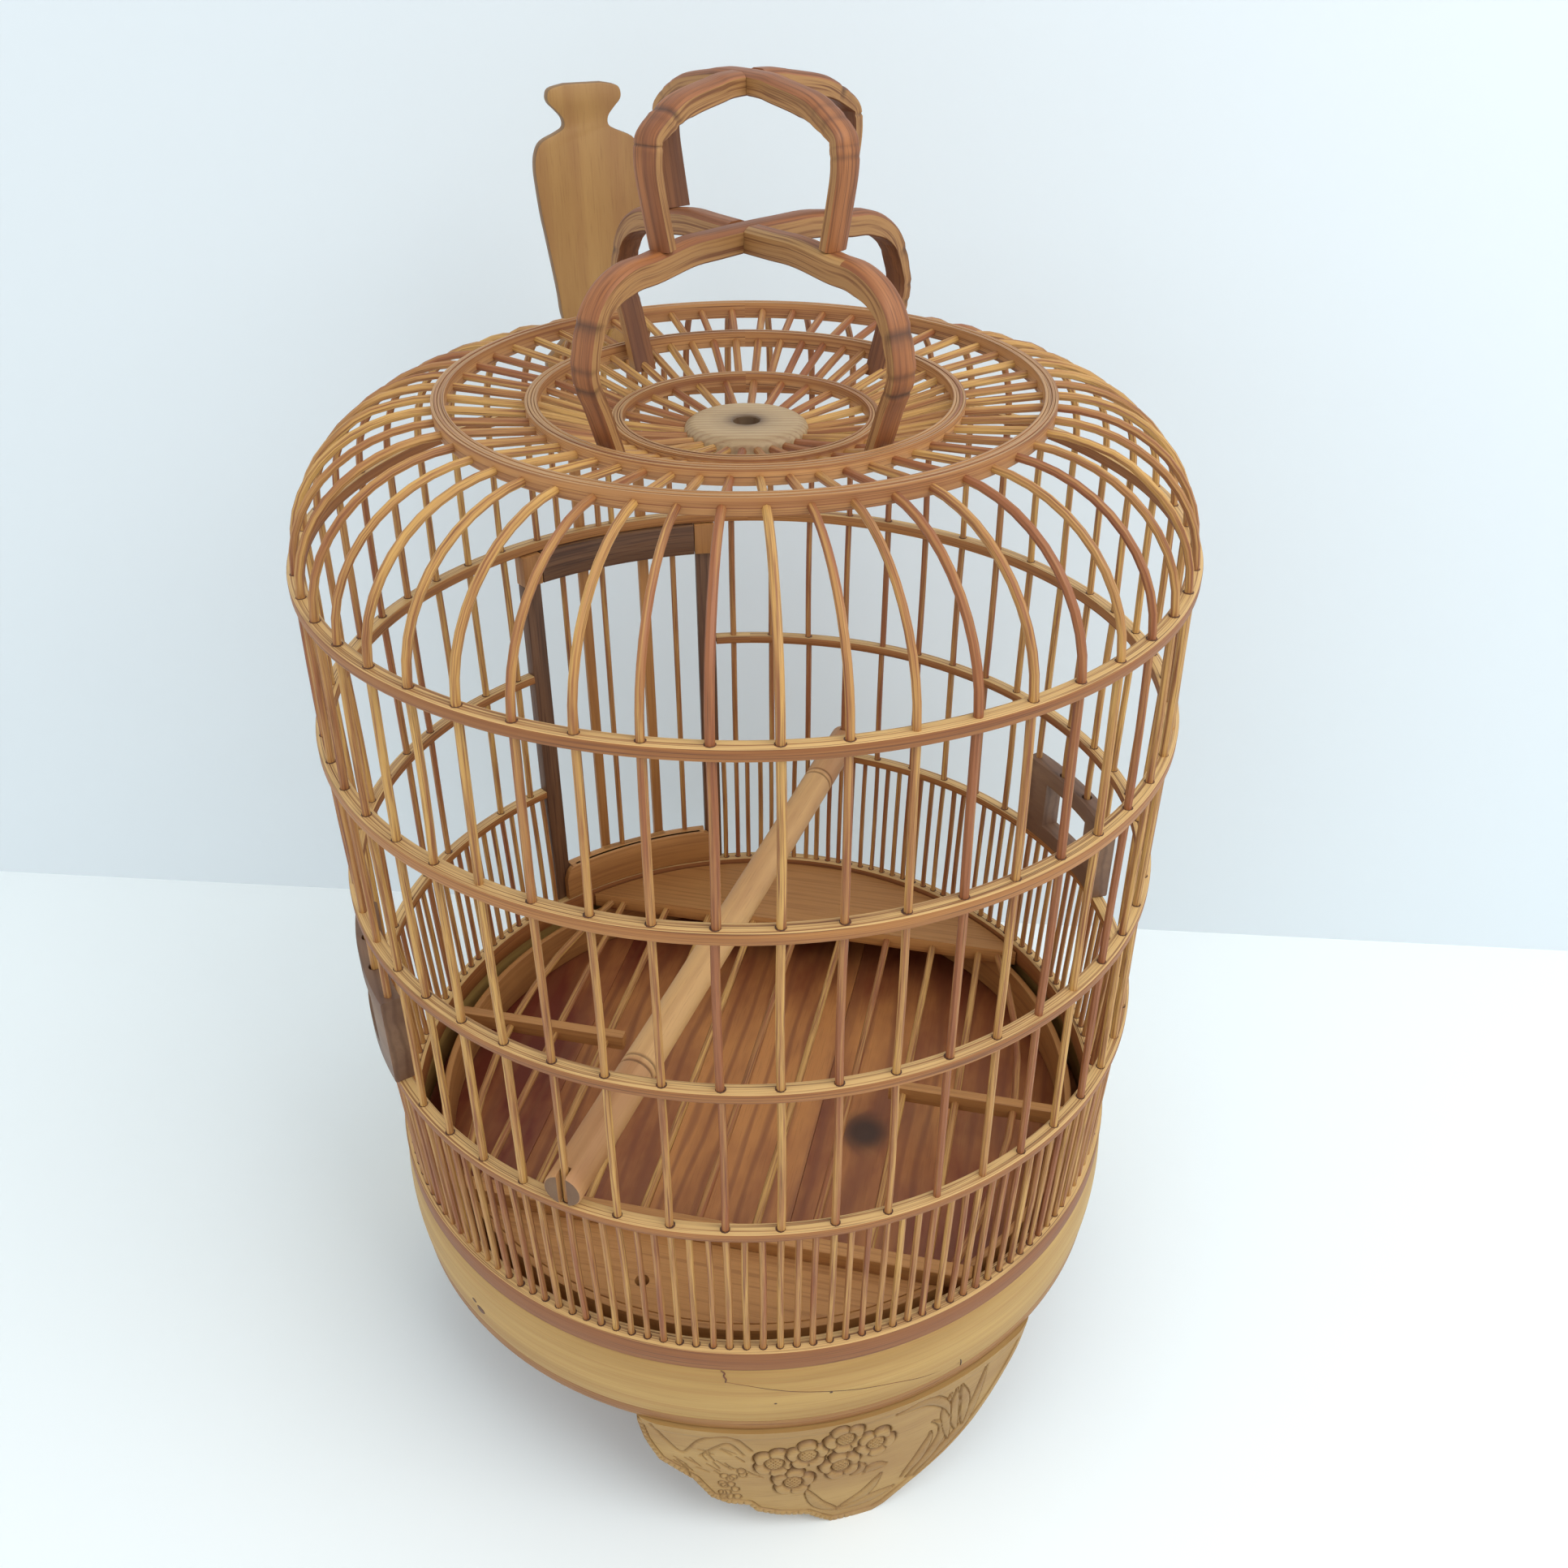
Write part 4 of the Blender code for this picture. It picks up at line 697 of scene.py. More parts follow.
closePlaces = []
plainPlaces = []
for number in range(cage["barCount"]):
    for part in (-1, 0, 1):
        azimuth = barAzimuth(number) + part * pitch / 3
        if clearOfDoor(azimuth, barStyle["closeWidth"], hoops["lower"]):
            closePlaces.append((azimuth, chance.uniform(-0.2, 0.35)))
    if clearOfDoor(barAzimuth(number), barStyle["width"], hoops["lower"]):
        plainPlaces.append((barAzimuth(number), barTints[number]))
cutTurns = [barAzimuth(number) for number in feederBars]
wholePlaces = [place for place in plainPlaces if min(awayFrom(place[0], turn) for turn in cutTurns) > 1]
stripTurns = [cage["door"] + side * stripTurn for side in (-1, 1)]
allPlaces = [(barAzimuth(number), barTints[number]) for number in range(cage["barCount"])]
replacedBars = [min(allPlaces, key=lambda place: awayFrom(place[0], turn)) for turn in stripTurns]
upperPlaces = [place for place in allPlaces if place not in replacedBars]
tier("closeBars", barStyle["closeWidth"], closePlaces, hoops["base"], hoops["lower"])
tier("lowerBars", barStyle["width"], wholePlaces, hoops["lower"], hoops["middle"])
tier("middleBars", barStyle["width"], plainPlaces, hoops["middle"], hoops["upper"])
tier("upperBars", barStyle["width"], upperPlaces, hoops["upper"], hoops["shoulder"])
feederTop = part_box("feeder_frame_right")[1].z / mm
stubs = layBars(
    "stubBars", barStyle["width"], [(turn, 0) for turn in cutTurns],
    (hoops["middle"]["radius"], feederTop - 3), (hoops["middle"]["radius"], hoops["middle"]["top"] - 2),
)
dress(stubs, "rodBamboo", "golden_bamboo", "root")
print("bars made")


# Ribs: the bars' tops, heated and bent over to the outer roof ring. About one in six is kinked at a node.
ribStyle = {"cuts": 11, "kinkChance": 0.17, "kink": 1.6, "kinkPlace": 0.72, "kinkReach": 0.12,
            "sunkShare": 0.06, "drop": 3.8, "entry": 1.0}


def ribPath(azimuth, kinked):
    shoulder, ring = hoops["shoulder"], hoops["outerRing"]
    endRadius = ring["radius"] + ring["width"] / 2 - ribStyle["entry"]
    reach = shoulder["radius"] - endRadius
    rise = ring["top"] - ribStyle["drop"] - shoulder["top"]
    start = ribStyle["sunkShare"]

    def place(share):
        if share < start:
            sunk = barStyle["sunk"] * (1 - share / start)
            return polar(azimuth, shoulder["radius"], shoulder["top"] - sunk)
        turn = math.pi / 2 * (share - start) / (1 - start)
        out = math.cos(turn)
        if kinked:
            away = abs(share - ribStyle["kinkPlace"]) / ribStyle["kinkReach"]
            out += ribStyle["kink"] / reach * max(0, 1 - away)
        return polar(azimuth, endRadius + reach * out, shoulder["top"] + rise * math.sin(turn))

    return place


ribOne = roundRod("ribOne", barStyle["width"], barStyle["sides"], ribStyle["cuts"])
ribs = []
for azimuth, tint in allPlaces:
    kinked = chance.random() < ribStyle["kinkChance"]
    size = chance.uniform(0.92, 1.05)
    rib = copyOf(ribOne, "rib")
    ribs.append(layAlong(rib, ribPath(azimuth, kinked), heading(azimuth + 90), tint, lambda share: size))
bpy.data.objects.remove(ribOne)
dress(joined("ribs", ribs), "rodBamboo", "golden_bamboo", "root")
layShadeRims("ribRims", barStyle["width"], allPlaces, hoops["shoulder"])
print("ribs made")


# Roof rings: four thin strips, each wound inside the last
ringStyle = {"layers": 4, "gap": 0.12, "ease": 0.18, "step": 0.22, "steps": 156}


def makeRing(place):
    ring = hoops[f"{place}Ring"]
    name = f"roof{place.capitalize()}Ring"
    layers = []
    width = ring["width"] / ringStyle["layers"]
    for number in range(ringStyle["layers"]):
        inside = ring["radius"] - ring["width"] / 2 + number * width
        drop = ringStyle["step"] * (number % 2)
        section = stripSection(
            inside + ringStyle["gap"] / 2, ring["top"] - ring["height"] + drop, width - ringStyle["gap"],
            ring["height"] - 2 * drop, ringStyle["ease"],
        )
        layer = spun(name, section, ringStyle["steps"])
        layers.append(grainRound(layer, chance.uniform(-0.25, 0.25)))
    dress(joined(name, layers), "ringBamboo", "honey_bamboo", "root", f"roof_{place}_ring")


def makeSpokes(name, ring, following, places):
    one = roundRod(name + "One", barStyle["width"], barStyle["sides"], 1)
    start = ring["radius"] - ring["width"] / 2 + ribStyle["entry"]
    stop = following["radius"] + following["width"] / 2 - ribStyle["entry"]
    ends = ((start, ring["top"] - ribStyle["drop"]), (stop, following["top"] - ribStyle["drop"]))
    spokes = [layBetween(one, name, azimuth, ends, tint) for azimuth, tint in places]
    bpy.data.objects.remove(one)
    dress(joined(name, spokes), "rodBamboo", "honey_bamboo", "root")


for place in ("outer", "middle", "inner"):
    makeRing(place)
makeSpokes("outerSpokes", hoops["outerRing"], hoops["middleRing"], allPlaces)
makeSpokes("middleSpokes", hoops["middleRing"], hoops["innerRing"], allPlaces)
makeSpokes("innerSpokes", hoops["innerRing"], hoops["disc"], allPlaces[::2])

# The disc's section is given as radius and depth below its top, in mm, and how dark it is towards the hole
# and on the rim as radius and share.
discStyle = {
    "section": (
        (4.8, 8.0), (21.3, 8.0), (22.3, 7.0), (22.3, 2.6), (21.8, 1.6), (20.4, 0.5), (18.6, 0), (14.0, 0),
        (9.0, 0), (6.6, 0), (5.2, 0), (4.8, 0.4),
    ),
    "steps": 104, "holeShadeAndStain": ((5.0, 0.8), (6.6, 0.5), (9.0, 0.18), (14.0, 0.0)),
    "rimShadeAndStain": ((18.6, 0.0), (20.4, 0.15), (21.8, 0.1)), "sideStain": 0.25,
}
discSection = [inMetres((radius, hoops["disc"]["top"] - depth)) for radius, depth in discStyle["section"]]
roofDisc = spun("roofDisc", discSection, discStyle["steps"])
grainAlong(roofDisc, 0)


def discStain(corners, normals):
    radius = np.hypot(corners[:, 0], corners[:, 1]) / mm
    turn = azimuthOf(corners[:, 0], corners[:, 1])
    notch = np.round(turn / (2 * math.pi) * discStyle["steps"]).astype(int) % 2
    hole, rim = (np.interp(radius, *zip(*discStyle[name])) for name in ("holeShadeAndStain", "rimShadeAndStain"))
    return hole + rim + np.where(radius > 22, discStyle["sideStain"] * notch, 0)


stain(roofDisc, discStain)
dress(roofDisc, "discWood", "brown_bamboo", "root", "roof_disc")
print("roof made")


# Base: the foot band that the feet hang from, and the pale base band
bandStyle = {"footInside": 150.0, "footWidth": 12.5, "footLow": 69.3, "footHeight": 5.7, "outside": 163.0,
             "wall": 2.2, "low": 75.3, "height": 33.3, "bulge": 1.3, "rows": 8, "ease": 0.7, "steps": 208}
footBand = spun("footBand", stripSection(
    bandStyle["footInside"], bandStyle["footLow"], bandStyle["footWidth"], bandStyle["footHeight"],
    bandStyle["ease"],
), bandStyle["steps"])
dress(grainRound(footBand, 0.2), "bandEdge", "brown_bamboo", "root", "foot_band")
baseBand = spun("baseBand", stripSection(
    bandStyle["outside"] - bandStyle["wall"], bandStyle["low"], bandStyle["wall"], bandStyle["height"],
    bandStyle["ease"], bandStyle["bulge"], bandStyle["rows"],
), bandStyle["steps"])
dress(grainRound(baseBand), "bandBamboo", "pale_bamboo", "root", "base_band")


# Lines on the band's face: a split, the long scarf where its ends overlap, and the overlap's end. Each has
# its width in mm, then its places as azimuth and height. A knot has its azimuth, height and radius.
bandLines = (
    (0.7, ((-5.2, 108.2), (-4.7, 107.0), (-4.8, 105.4), (-4.5, 103.8), (-4.6, 102.0))),
    (0.26, ((-4.6, 102.3), (-1.7, 100.6), (1.6, 98.1), (5.4, 95.4), (9.5, 93.0), (14.1, 90.1), (19.0, 87.3),
            (24.2, 82.8), (30.2, 79.6))),
    (0.6, ((30.3, 81.6), (30.5, 79.5), (30.6, 76.4))),
)
bandKnots = ((-45.2, 86.0, 1.9), (-46.6, 88.5, 1.1), (9.9, 92.0, 0.5), (2.2, 88.9, 0.45))


def onBand(azimuth, height):
    share = (height - bandStyle["low"]) / bandStyle["height"]
    return polar(azimuth, bandStyle["outside"] + bandStyle["bulge"] * 4 * share * (1 - share), height)


# Thins a line towards both of its ends.
def thinned(share):
    return 0.3 + 0.7 * math.sin(math.pi * min(max(share, 0.02), 0.98)) ** 0.4


marks = []
for width, places in bandLines:
    line = roundRod("bandLine", width, 6, 60)
    middle = places[len(places) // 2][0]
    layAlong(line, smoothPath([onBand(*place) for place in places]), heading(middle), 0, thinned)
    marks.append(line)
for azimuth, height, radius in bandKnots:
    bpy.ops.mesh.primitive_uv_sphere_add(segments=16, ring_count=8, radius=radius * mm, scale=(1.4, 0.12, 1))
    knot = newest("bandKnot")
    applyPlace()
    grainAlong(knot, 1)
    turnTo(knot, azimuth)
    knot.data.transform(Matrix.Translation(onBand(azimuth, height)))
    marks.append(knot)
dress(joined("bandMarks", marks), "holeShadeAndStain", "pale_bamboo", "root")
print("base bands made")


# Feet: a board bent round the base, cut to a scalloped outline and carved with plum blossom and grass
footStyle = {
    "azimuths": {"foot_front": 14.0, "foot_right": 134.0, "foot_left": 254.0}, "outside": 165.0,
    "depth": 11.0, "height": 69.0, "halfAngle": 32.0, "columns": 400, "rows": 130, "tipFall": 1.9,
    "tipShare": 0.12, "skin": 0.8,
}
footOutline = (
    (-1.000, 0.970), (-0.966, 0.816), (-0.897, 0.646), (-0.831, 0.586), (-0.741, 0.497), (-0.666, 0.332),
    (-0.588, 0.277), (-0.494, 0.265), (-0.456, 0.196), (-0.350, 0.146), (-0.222, 0.120), (-0.159, 0.048),
    (-0.109, 0.000), (0.090, 0.000), (0.150, 0.035), (0.210, 0.095), (0.280, 0.158), (0.370, 0.228),
    (0.469, 0.305), (0.550, 0.378), (0.634, 0.465), (0.734, 0.600), (0.850, 0.780), (0.953, 0.960),
    (1.000, 0.985),
)
# Places on the foot are its azimuth from the foot's middle, in degrees, and its height in mm.
carving = {
    "blossoms": ((-12.0, 47.7), (-7.2, 51.2), (-1.7, 57.8), (2.9, 49.6), (-9.3, 33.4), (-2.3, 40.0)),
    "blossomRadius": 9.4,
    "blades": (
        ((-2.6, 7.4), (-5.6, 14.0), (-7.5, 26.0)), ((-2.6, 7.4), (1.6, 14.0), (4.1, 24.5)),
        ((-2.6, 7.4), (2.0, 9.0), (6.3, 11.7)),
        ((8.5, 14.7), (12.2, 24.0), (14.2, 34.0), (14.0, 42.0), (12.4, 47.0)),
        ((7.6, 16.7), (10.4, 26.0), (12.0, 36.0), (12.1, 40.0)), ((16.9, 31.2), (16.2, 45.0), (16.4, 61.4)),
        ((9.8, 13.9), (15.8, 26.8), (18.6, 34.6), (20.6, 48.0), (22.1, 64.8)),
        ((15.4, 28.5), (14.6, 50.0), (15.3, 60.0)), ((17.9, 33.5), (18.3, 48.0), (17.3, 61.8)),
        ((6.2, 63.3), (11.1, 63.4), (14.4, 55.0), (15.4, 45.1)),
        ((-0.6, 30.5), (0.8, 33.5), (0.2, 37.5)), ((1.4, 29.5), (2.6, 31.5), (4.8, 31.0)),
    ),
    "bladeWidth": 2.5,
    "peaks": (
        (
            (-29.7, 67.3), (-27.4, 58.0), (-25.2, 51.9), (-23.0, 60.5), (-20.6, 64.8), (-17.8, 64.9),
            (-15.2, 55.8),
        ),
        ((-22.6, 51.0), (-20.4, 57.5), (-18.4, 60.5), (-16.4, 53.0)),
    ),
    "hatches": 26, "hatchSpan": ((-27.0, -15.4), (40.0, 60.0)), "pebblePlace": ((-19.6, -16.4), (22.0, 47.0)),
    "pebbles": 15, "pebbleRadius": 1.7, "rim": 2.2, "beadPitch": 2.6,
}


def toLine(along, up, corners):
    nearest = np.full(along.shape, 1e9)
    share = np.zeros(along.shape)
    run = 0.0
    for (a, b), (c, d) in zip(corners, corners[1:]):
        length = math.hypot(c - a, d - b)
        t = np.clip(((along - a) * (c - a) + (up - b) * (d - b)) / length ** 2, 0, 1)
        away = np.hypot(along - a - t * (c - a), up - b - t * (d - b))
        share = np.where(away < nearest, run + t * length, share)
        nearest = np.minimum(nearest, away)
        run += length
    return nearest, share, run


def curved(corners, steps=6):
    path = smoothPath([Vector((a, b, 0)) for a, b in corners])
    count = steps * (len(corners) - 1)
    return [tuple(path(k / count))[:2] for k in range(count + 1)]


# Height of the carved surface in mm, and the painted shade in its grooves, at places along and up the foot in
# mm.
def carve(along, up):
    arc = math.radians(1) * footStyle["outside"]
    pattern = random.Random(7)
    raised = np.zeros(along.shape)
    groove = np.zeros(along.shape)
    half = footStyle["halfAngle"]
    edge = [(share * half * arc, lift * footStyle["height"]) for share, lift in footOutline]
    away, run, length = toLine(along, up, edge)
    rim = carving["rim"]
    sunk = np.clip((away - rim) / 1.5, 0, 1) * np.clip((footStyle["height"] - 3.5 - up) / 1.5, 0, 1)
    raised -= 0.55 * sunk
    groove = np.maximum(groove, 0.6 * np.exp(-((away - rim - 0.3) / 0.4) ** 2) * np.clip(sunk * 9, 0, 1))
    beads = np.abs(np.sin(math.pi * run / carving["beadPitch"])) ** 0.5
    nearEdge = (away < rim) & (along < 0)
    raised += np.where(nearEdge, 0.3 * beads * np.clip(away / 0.8, 0, 1), 0)
    groove = np.maximum(groove, np.where(nearEdge, 0.55 * (1 - beads) ** 2, 0))

    def scratch(line, width, depth):
        nonlocal raised, groove
        away, run, length = toLine(along, up, [(a * arc, b) for a, b in line])
        raised -= depth * np.exp(-(away / width) ** 2)
        groove = np.maximum(groove, np.exp(-(away / width) ** 2) * min(1, depth * 1.6))

    for line in carving["peaks"]:
        scratch(curved(line), 0.6, 0.35)
    (left, right), (low, high) = carving["hatchSpan"]
    for count in range(carving["hatches"]):
        a = pattern.uniform(left, right)
        b = pattern.uniform(low, high - abs(a - (left + right) / 2) * 1.6)
        scratch(((a, b), (a + pattern.uniform(0.8, 2.2), b - pattern.uniform(2.0, 6.0))), 0.32, 0.3)
    (left, right), (low, high) = carving["pebblePlace"]
    for count in range(carving["pebbles"]):
        x = along - pattern.uniform(left, right) * arc
        y = up - pattern.uniform(low, high)
        reach = np.hypot(x, y) / carving["pebbleRadius"]
        raised += np.where(reach < 1, 0.3 * (1 - reach ** 2), 0)
        groove = np.maximum(groove, 0.7 * np.exp(-((reach - 1) / 0.2) ** 2))
    for blade in carving["blades"]:
        line = curved([(a * arc, b) for a, b in blade])
        away, run, length = toLine(along, up, line)
        width = carving["bladeWidth"] * np.sin(math.pi * np.clip(run / length, 0.03, 0.97)) ** 0.7
        within = away < width
        raised = np.where(within, -0.15 + 0.55 * (1 - (away / width) ** 2), raised)
        groove = np.where(within, 0.3, groove)
        groove = np.maximum(groove, 0.75 * np.exp(-((away - width) / 0.4) ** 2))
        groove = np.maximum(groove, 0.4 * np.exp(-(away / 0.25) ** 2))
    for number, (a, b) in enumerate(carving["blossoms"]):
        x, y = along - a * arc, up - b
        reach = np.hypot(x, y)
        turn = np.arctan2(y, x) + number * 0.9
        radius = carving["blossomRadius"]
        outline = radius * (0.70 + 0.30 * np.abs(np.cos(2.5 * turn)) ** 0.6)
        heart = 0.44 * radius
        inside = reach < outline
        petal = 0.35 + 0.45 * np.sin(math.pi * np.clip((reach - heart) / (outline - heart), 0, 1)) ** 0.7
        dome = np.where(reach < heart, 0.15 + 0.5 * (1 - (reach / heart) ** 2), petal)
        raised = np.where(inside, dome, raised)
        rimLine = 1.25 * np.exp(-((reach - outline) / 0.65) ** 2)
        ringLine = np.exp(-((reach - heart) / 0.5) ** 2)
        split = np.exp(-(np.cos(2.5 * turn) * reach / 1.0) ** 2) * (reach > heart)
        dots = np.clip(np.sin(3.4 * x) * np.sin(3.4 * y), 0, 1) * (reach < 0.8 * heart)
        inner = np.maximum(np.maximum(0.8 * split, ringLine), 0.8 * dots)
        groove = np.where(inside, np.maximum(rimLine, inner), np.maximum(groove, rimLine))
    return raised - 1.2 * groove, np.minimum(groove, 1.2)


def makeFoot(node, azimuth):
    bpy.ops.mesh.primitive_grid_add(
        x_subdivisions=footStyle["columns"], y_subdivisions=footStyle["rows"], size=1,
        rotation=(math.pi / 2, 0, 0),
    )
    piece = newest(nameOf(node))
    applyPlace()
    points = pointsOf(piece.data)
    share = points[:, 0] * 2
    outline = np.array(footOutline)
    under = np.interp(share, outline[:, 0], outline[:, 1]) * footStyle["height"]
    along = share * footStyle["halfAngle"] * math.radians(1) * footStyle["outside"]
    up = under + (footStyle["height"] - under) * (points[:, 2] + 0.5)
    movePoints(piece.data, np.stack([along * mm, np.zeros(len(along)), up * mm], axis=1))
    depth = footStyle["depth"] * mm
    startEdit()
    pick(piece, "edges", lambda edge: edge.is_boundary)
    bpy.ops.mesh.extrude_edges_move(TRANSFORM_OT_translate={"value": (0, depth, 0)})
    width = along.max() * mm
    top = footStyle["height"] * mm
    for side in (-1, 1):
        pick(piece, "verts", lambda vert: (
            vert.co.y > depth / 2 and vert.co.x * side > width - 1e-6 and vert.co.z < top - 1e-6
        ))
        bpy.ops.mesh.merge(type="COLLAPSE")
    pick(piece, "edges", lambda edge: (
        min(vert.co.y for vert in edge.verts) > depth / 2
        and abs(edge.verts[0].co.x - edge.verts[1].co.x) > 1e-6
    ))
    bpy.ops.mesh.bridge_edge_loops()
    finishEdit()
    grainAlong(piece, 0)
    points = pointsOf(piece.data)
    raised, groove = carve(points[:, 0] / mm, points[:, 2] / mm)
    front = points[:, 1] < 1e-6
    raised = np.where(front, raised, 0)
    groove = np.where(front, groove, 0)
    # painted shade in the carving's grooves and over its blades
    store(piece.data, "mark", 0.6 * groove[cornersOf(piece.data)[-1]])
    tip = footStyle["tipShare"]
    toTip = np.clip(np.abs(points[:, 0]) / width / tip - (1 - tip) / tip, 0, 1)
    raised = np.where(front, np.minimum(raised - footStyle["skin"], 0) - footStyle["tipFall"] * toTip ** 2, 0)
    radius = footStyle["outside"] * mm - points[:, 1] + raised * mm
    turn = np.radians(azimuth) + points[:, 0] / (footStyle["outside"] * mm)
    movePoints(piece.data, np.stack([radius * np.sin(turn), -radius * np.cos(turn), points[:, 2]], axis=1))
    dress(piece, "footWood", "carved_wood", "root", node)


for node, azimuth in footStyle["azimuths"].items():
    makeFoot(node, azimuth)
print("feet made")


# Tray planks and the floor grille, built facing the front and then turned together
trayStyle = {"radius": 160.2, "low": 75.3, "thick": 10.0, "joint": 0.2, "ease": 0.15,
             "tints": (0.1, -0.1, -0.25, -0.1, -0.05)}
floorStyle = {
    "ringRadius": 150.0, "ringWall": 3.2, "back": 5.0, "low": 85.6, "ringHeight": 22.8, "boardThick": 6.4,
    "railBack": 98.0, "railWidth": 6.8, "railLength": 230.0, "grille": 8.3, "backBoardFront": 104.0,
    "backBoardRadius": 155.6, "battenWidth": 5.2, "battenPlaces": (0.5, -3.5), "battenInner": 65.5,
    "battenOuter": 150.0, "rod": 3.6, "rodRaise": 3.8, "rodPitch": 24.5, "rodOffset": -1.6,
    "rodOverlap": 2.0, "bowedPlace": 124.0, "bow": 18.0,
    "holeRadius": 3.0, "holePlace": (-17.0, -128.0), "ease": 0.5, "railEase": 0.8, "battenEase": 0.6,
}


def sawnDisc(name, radius, low, thick, cuts, back=0.0, ease=0.5):
    bpy.ops.mesh.primitive_circle_add(
        vertices=180, radius=radius * mm, fill_type="NGON", location=(0, back * mm, low * mm)
    )
    piece = newest(name)
    applyPlace()
    startEdit()
    for spot, outwards in cuts:
        bpy.ops.mesh.select_all(action="SELECT")
        bpy.ops.mesh.bisect(
            plane_co=[value * mm for value in spot], plane_no=outwards, clear_outer=True, clear_inner=False
        )
    bpy.ops.mesh.select_all(action="SELECT")
    bpy.ops.mesh.extrude_region_move(TRANSFORM_OT_translate={"value": (0, 0, thick * mm)})
    finishEdit()
    return easeEdges(piece, ease * mm)


def dressFloor(piece, finish, slot, node):
    dress(turnTo(piece, cage["floor"]), finish, slot, "root", node)


width = 2 * trayStyle["radius"] / len(trayStyle["tints"])
for number, tint in enumerate(trayStyle["tints"]):
    left = -trayStyle["radius"] + number * width
    cuts = []
    if number > 0:
        cuts.append(((left + trayStyle["joint"] / 2, 0, 0), (-1, 0, 0)))
    if number < len(trayStyle["tints"]) - 1:
        cuts.append(((left + width - trayStyle["joint"] / 2, 0, 0), (1, 0, 0)))
    plank = sawnDisc(
        f"trayPlank{number + 1}", trayStyle["radius"], trayStyle["low"], trayStyle["thick"], cuts,
        ease=trayStyle["ease"],
    )
    dressFloor(grainAlong(plank, 1, tint), "trayCedar", "red_wood", f"tray_plank_{number + 1}")

ringTop = floorStyle["low"] + floorStyle["ringHeight"]
grilleLow = ringTop + gap
grilleTop = grilleLow + floorStyle["grille"]
ringInside = floorStyle["ringRadius"] - floorStyle["ringWall"]
floorRing = spun("floorRing", stripSection(
    ringInside, floorStyle["low"], floorStyle["ringWall"], floorStyle["ringHeight"], floorStyle["ease"],
), 180)
grainRound(floorRing)
floorRing.data.transform(Matrix.Translation((0, floorStyle["back"] * mm, 0)))
dressFloor(floorRing, "boardBamboo", "honey_bamboo", "floor_ring")
frontBoard = sawnDisc(
    "floorFrontBoard", ringInside - gap, ringTop - floorStyle["boardThick"], floorStyle["boardThick"],
    [((0, -floorStyle["railBack"], 0), (0, 1, 0))], floorStyle["back"],
)
bpy.ops.mesh.primitive_cylinder_add(
    vertices=32, radius=floorStyle["holeRadius"] * mm, depth=30 * mm,
    location=inMetres((*floorStyle["holePlace"], ringTop)),
)
cutWith(frontBoard, newest("boardHole"))
dressFloor(grainAlong(frontBoard, 0, -0.2), "boardBamboo", "golden_bamboo", "floor_front_board")
floorRail = block(
    "floorRail",
    (-floorStyle["railLength"] / 2, -floorStyle["railBack"] - floorStyle["railWidth"], grilleLow),
    (floorStyle["railLength"] / 2, -floorStyle["railBack"], grilleTop), floorStyle["railEase"], 3,
)
dressFloor(grainAlong(floorRail, 0, 0.1), "boardBamboo", "brown_bamboo", "floor_rail")
backBoard = sawnDisc(
    "floorBackBoard", floorStyle["backBoardRadius"], grilleLow, floorStyle["grille"],
    [((0, floorStyle["backBoardFront"], 0), (0, -1, 0))],
)
dressFloor(grainAlong(backBoard, 0, -0.6), "boardBamboo", "golden_bamboo", "floor_back_board")
for name, side, place in zip(("left", "right"), (-1, 1), floorStyle["battenPlaces"]):
    ends = sorted((side * floorStyle["battenInner"], side * floorStyle["battenOuter"]))
    half = floorStyle["battenWidth"] / 2
    batten = block(
        nameOf(f"batten_{name}"), (ends[0], place - half, grilleLow), (ends[1], place + half, grilleTop),
        floorStyle["battenEase"],
    )
    dressFloor(grainAlong(batten, 0, 0.2), "boardBamboo", "honey_bamboo", f"floor_batten_{name}")

rodOne = roundRod("rodOne", floorStyle["rod"], 12, 7)
overlap = floorStyle["rodOverlap"]
rodEnds = (-floorStyle["railBack"] - overlap, floorStyle["backBoardFront"] + overlap)
rodUp = grilleLow + floorStyle["rodRaise"]
for number in range(-5, 6):
    if abs(number) == 5:
        side = math.copysign(1, number)
        marks = []
        for step in range(7):
            share = step / 3 - 1
            across = side * (floorStyle["bowedPlace"] - floorStyle["bow"] * share ** 2)
            middle = (rodEnds[0] + rodEnds[1]) / 2 + share * (rodEnds[1] - rodEnds[0]) / 2
            marks.append(Vector((across, middle, rodUp)) * mm)
        path = smoothPath(marks)
    else:
        across = floorStyle["rodOffset"] + number * floorStyle["rodPitch"]
        path = straightPath(
            Vector((across, rodEnds[0], rodUp)) * mm, Vector((across, rodEnds[1], rodUp)) * mm,
            Vector((chance.uniform(-1, 1), 0, 0)) * mm,
        )
    node = f"floor_rod_{number + 6}"
    rod = layAlong(copyOf(rodOne, nameOf(node)), path, Vector((1, 0, 0)), chance.uniform(-0.4, 0.3))
    dressFloor(rod, "rodBamboo", "golden_bamboo", node)
bpy.data.objects.remove(rodOne)
print("tray and floor made")


# Doorway and sliding door, built facing the front and then turned to the door's azimuth
upper = hoops["upper"]
lintelTop = upper["top"] - upper["height"] - gap
lintelLow = lintelTop - doorStyle["lintelHeight"]
railLow = hoops["base"]["top"] + gap
blockOut = upper["radius"] + upper["width"] / 2
blockIn = blockOut - doorStyle["blockDepth"]


# A block of the doorway or the door in mm, from its middle and width across, its outer and inner radius, its
# foot and its top.
def doorBlock(node, middle, width, outer, inner, low, high, tint, finish, body, turn):
    piece = block(
        nameOf(node), (middle - width / 2, -outer, low), (middle + width / 2, -inner, high), doorStyle["ease"]
    )
    dress(turnTo(grainAlong(piece, 2, tint), turn), finish, "golden_bamboo", body, node)


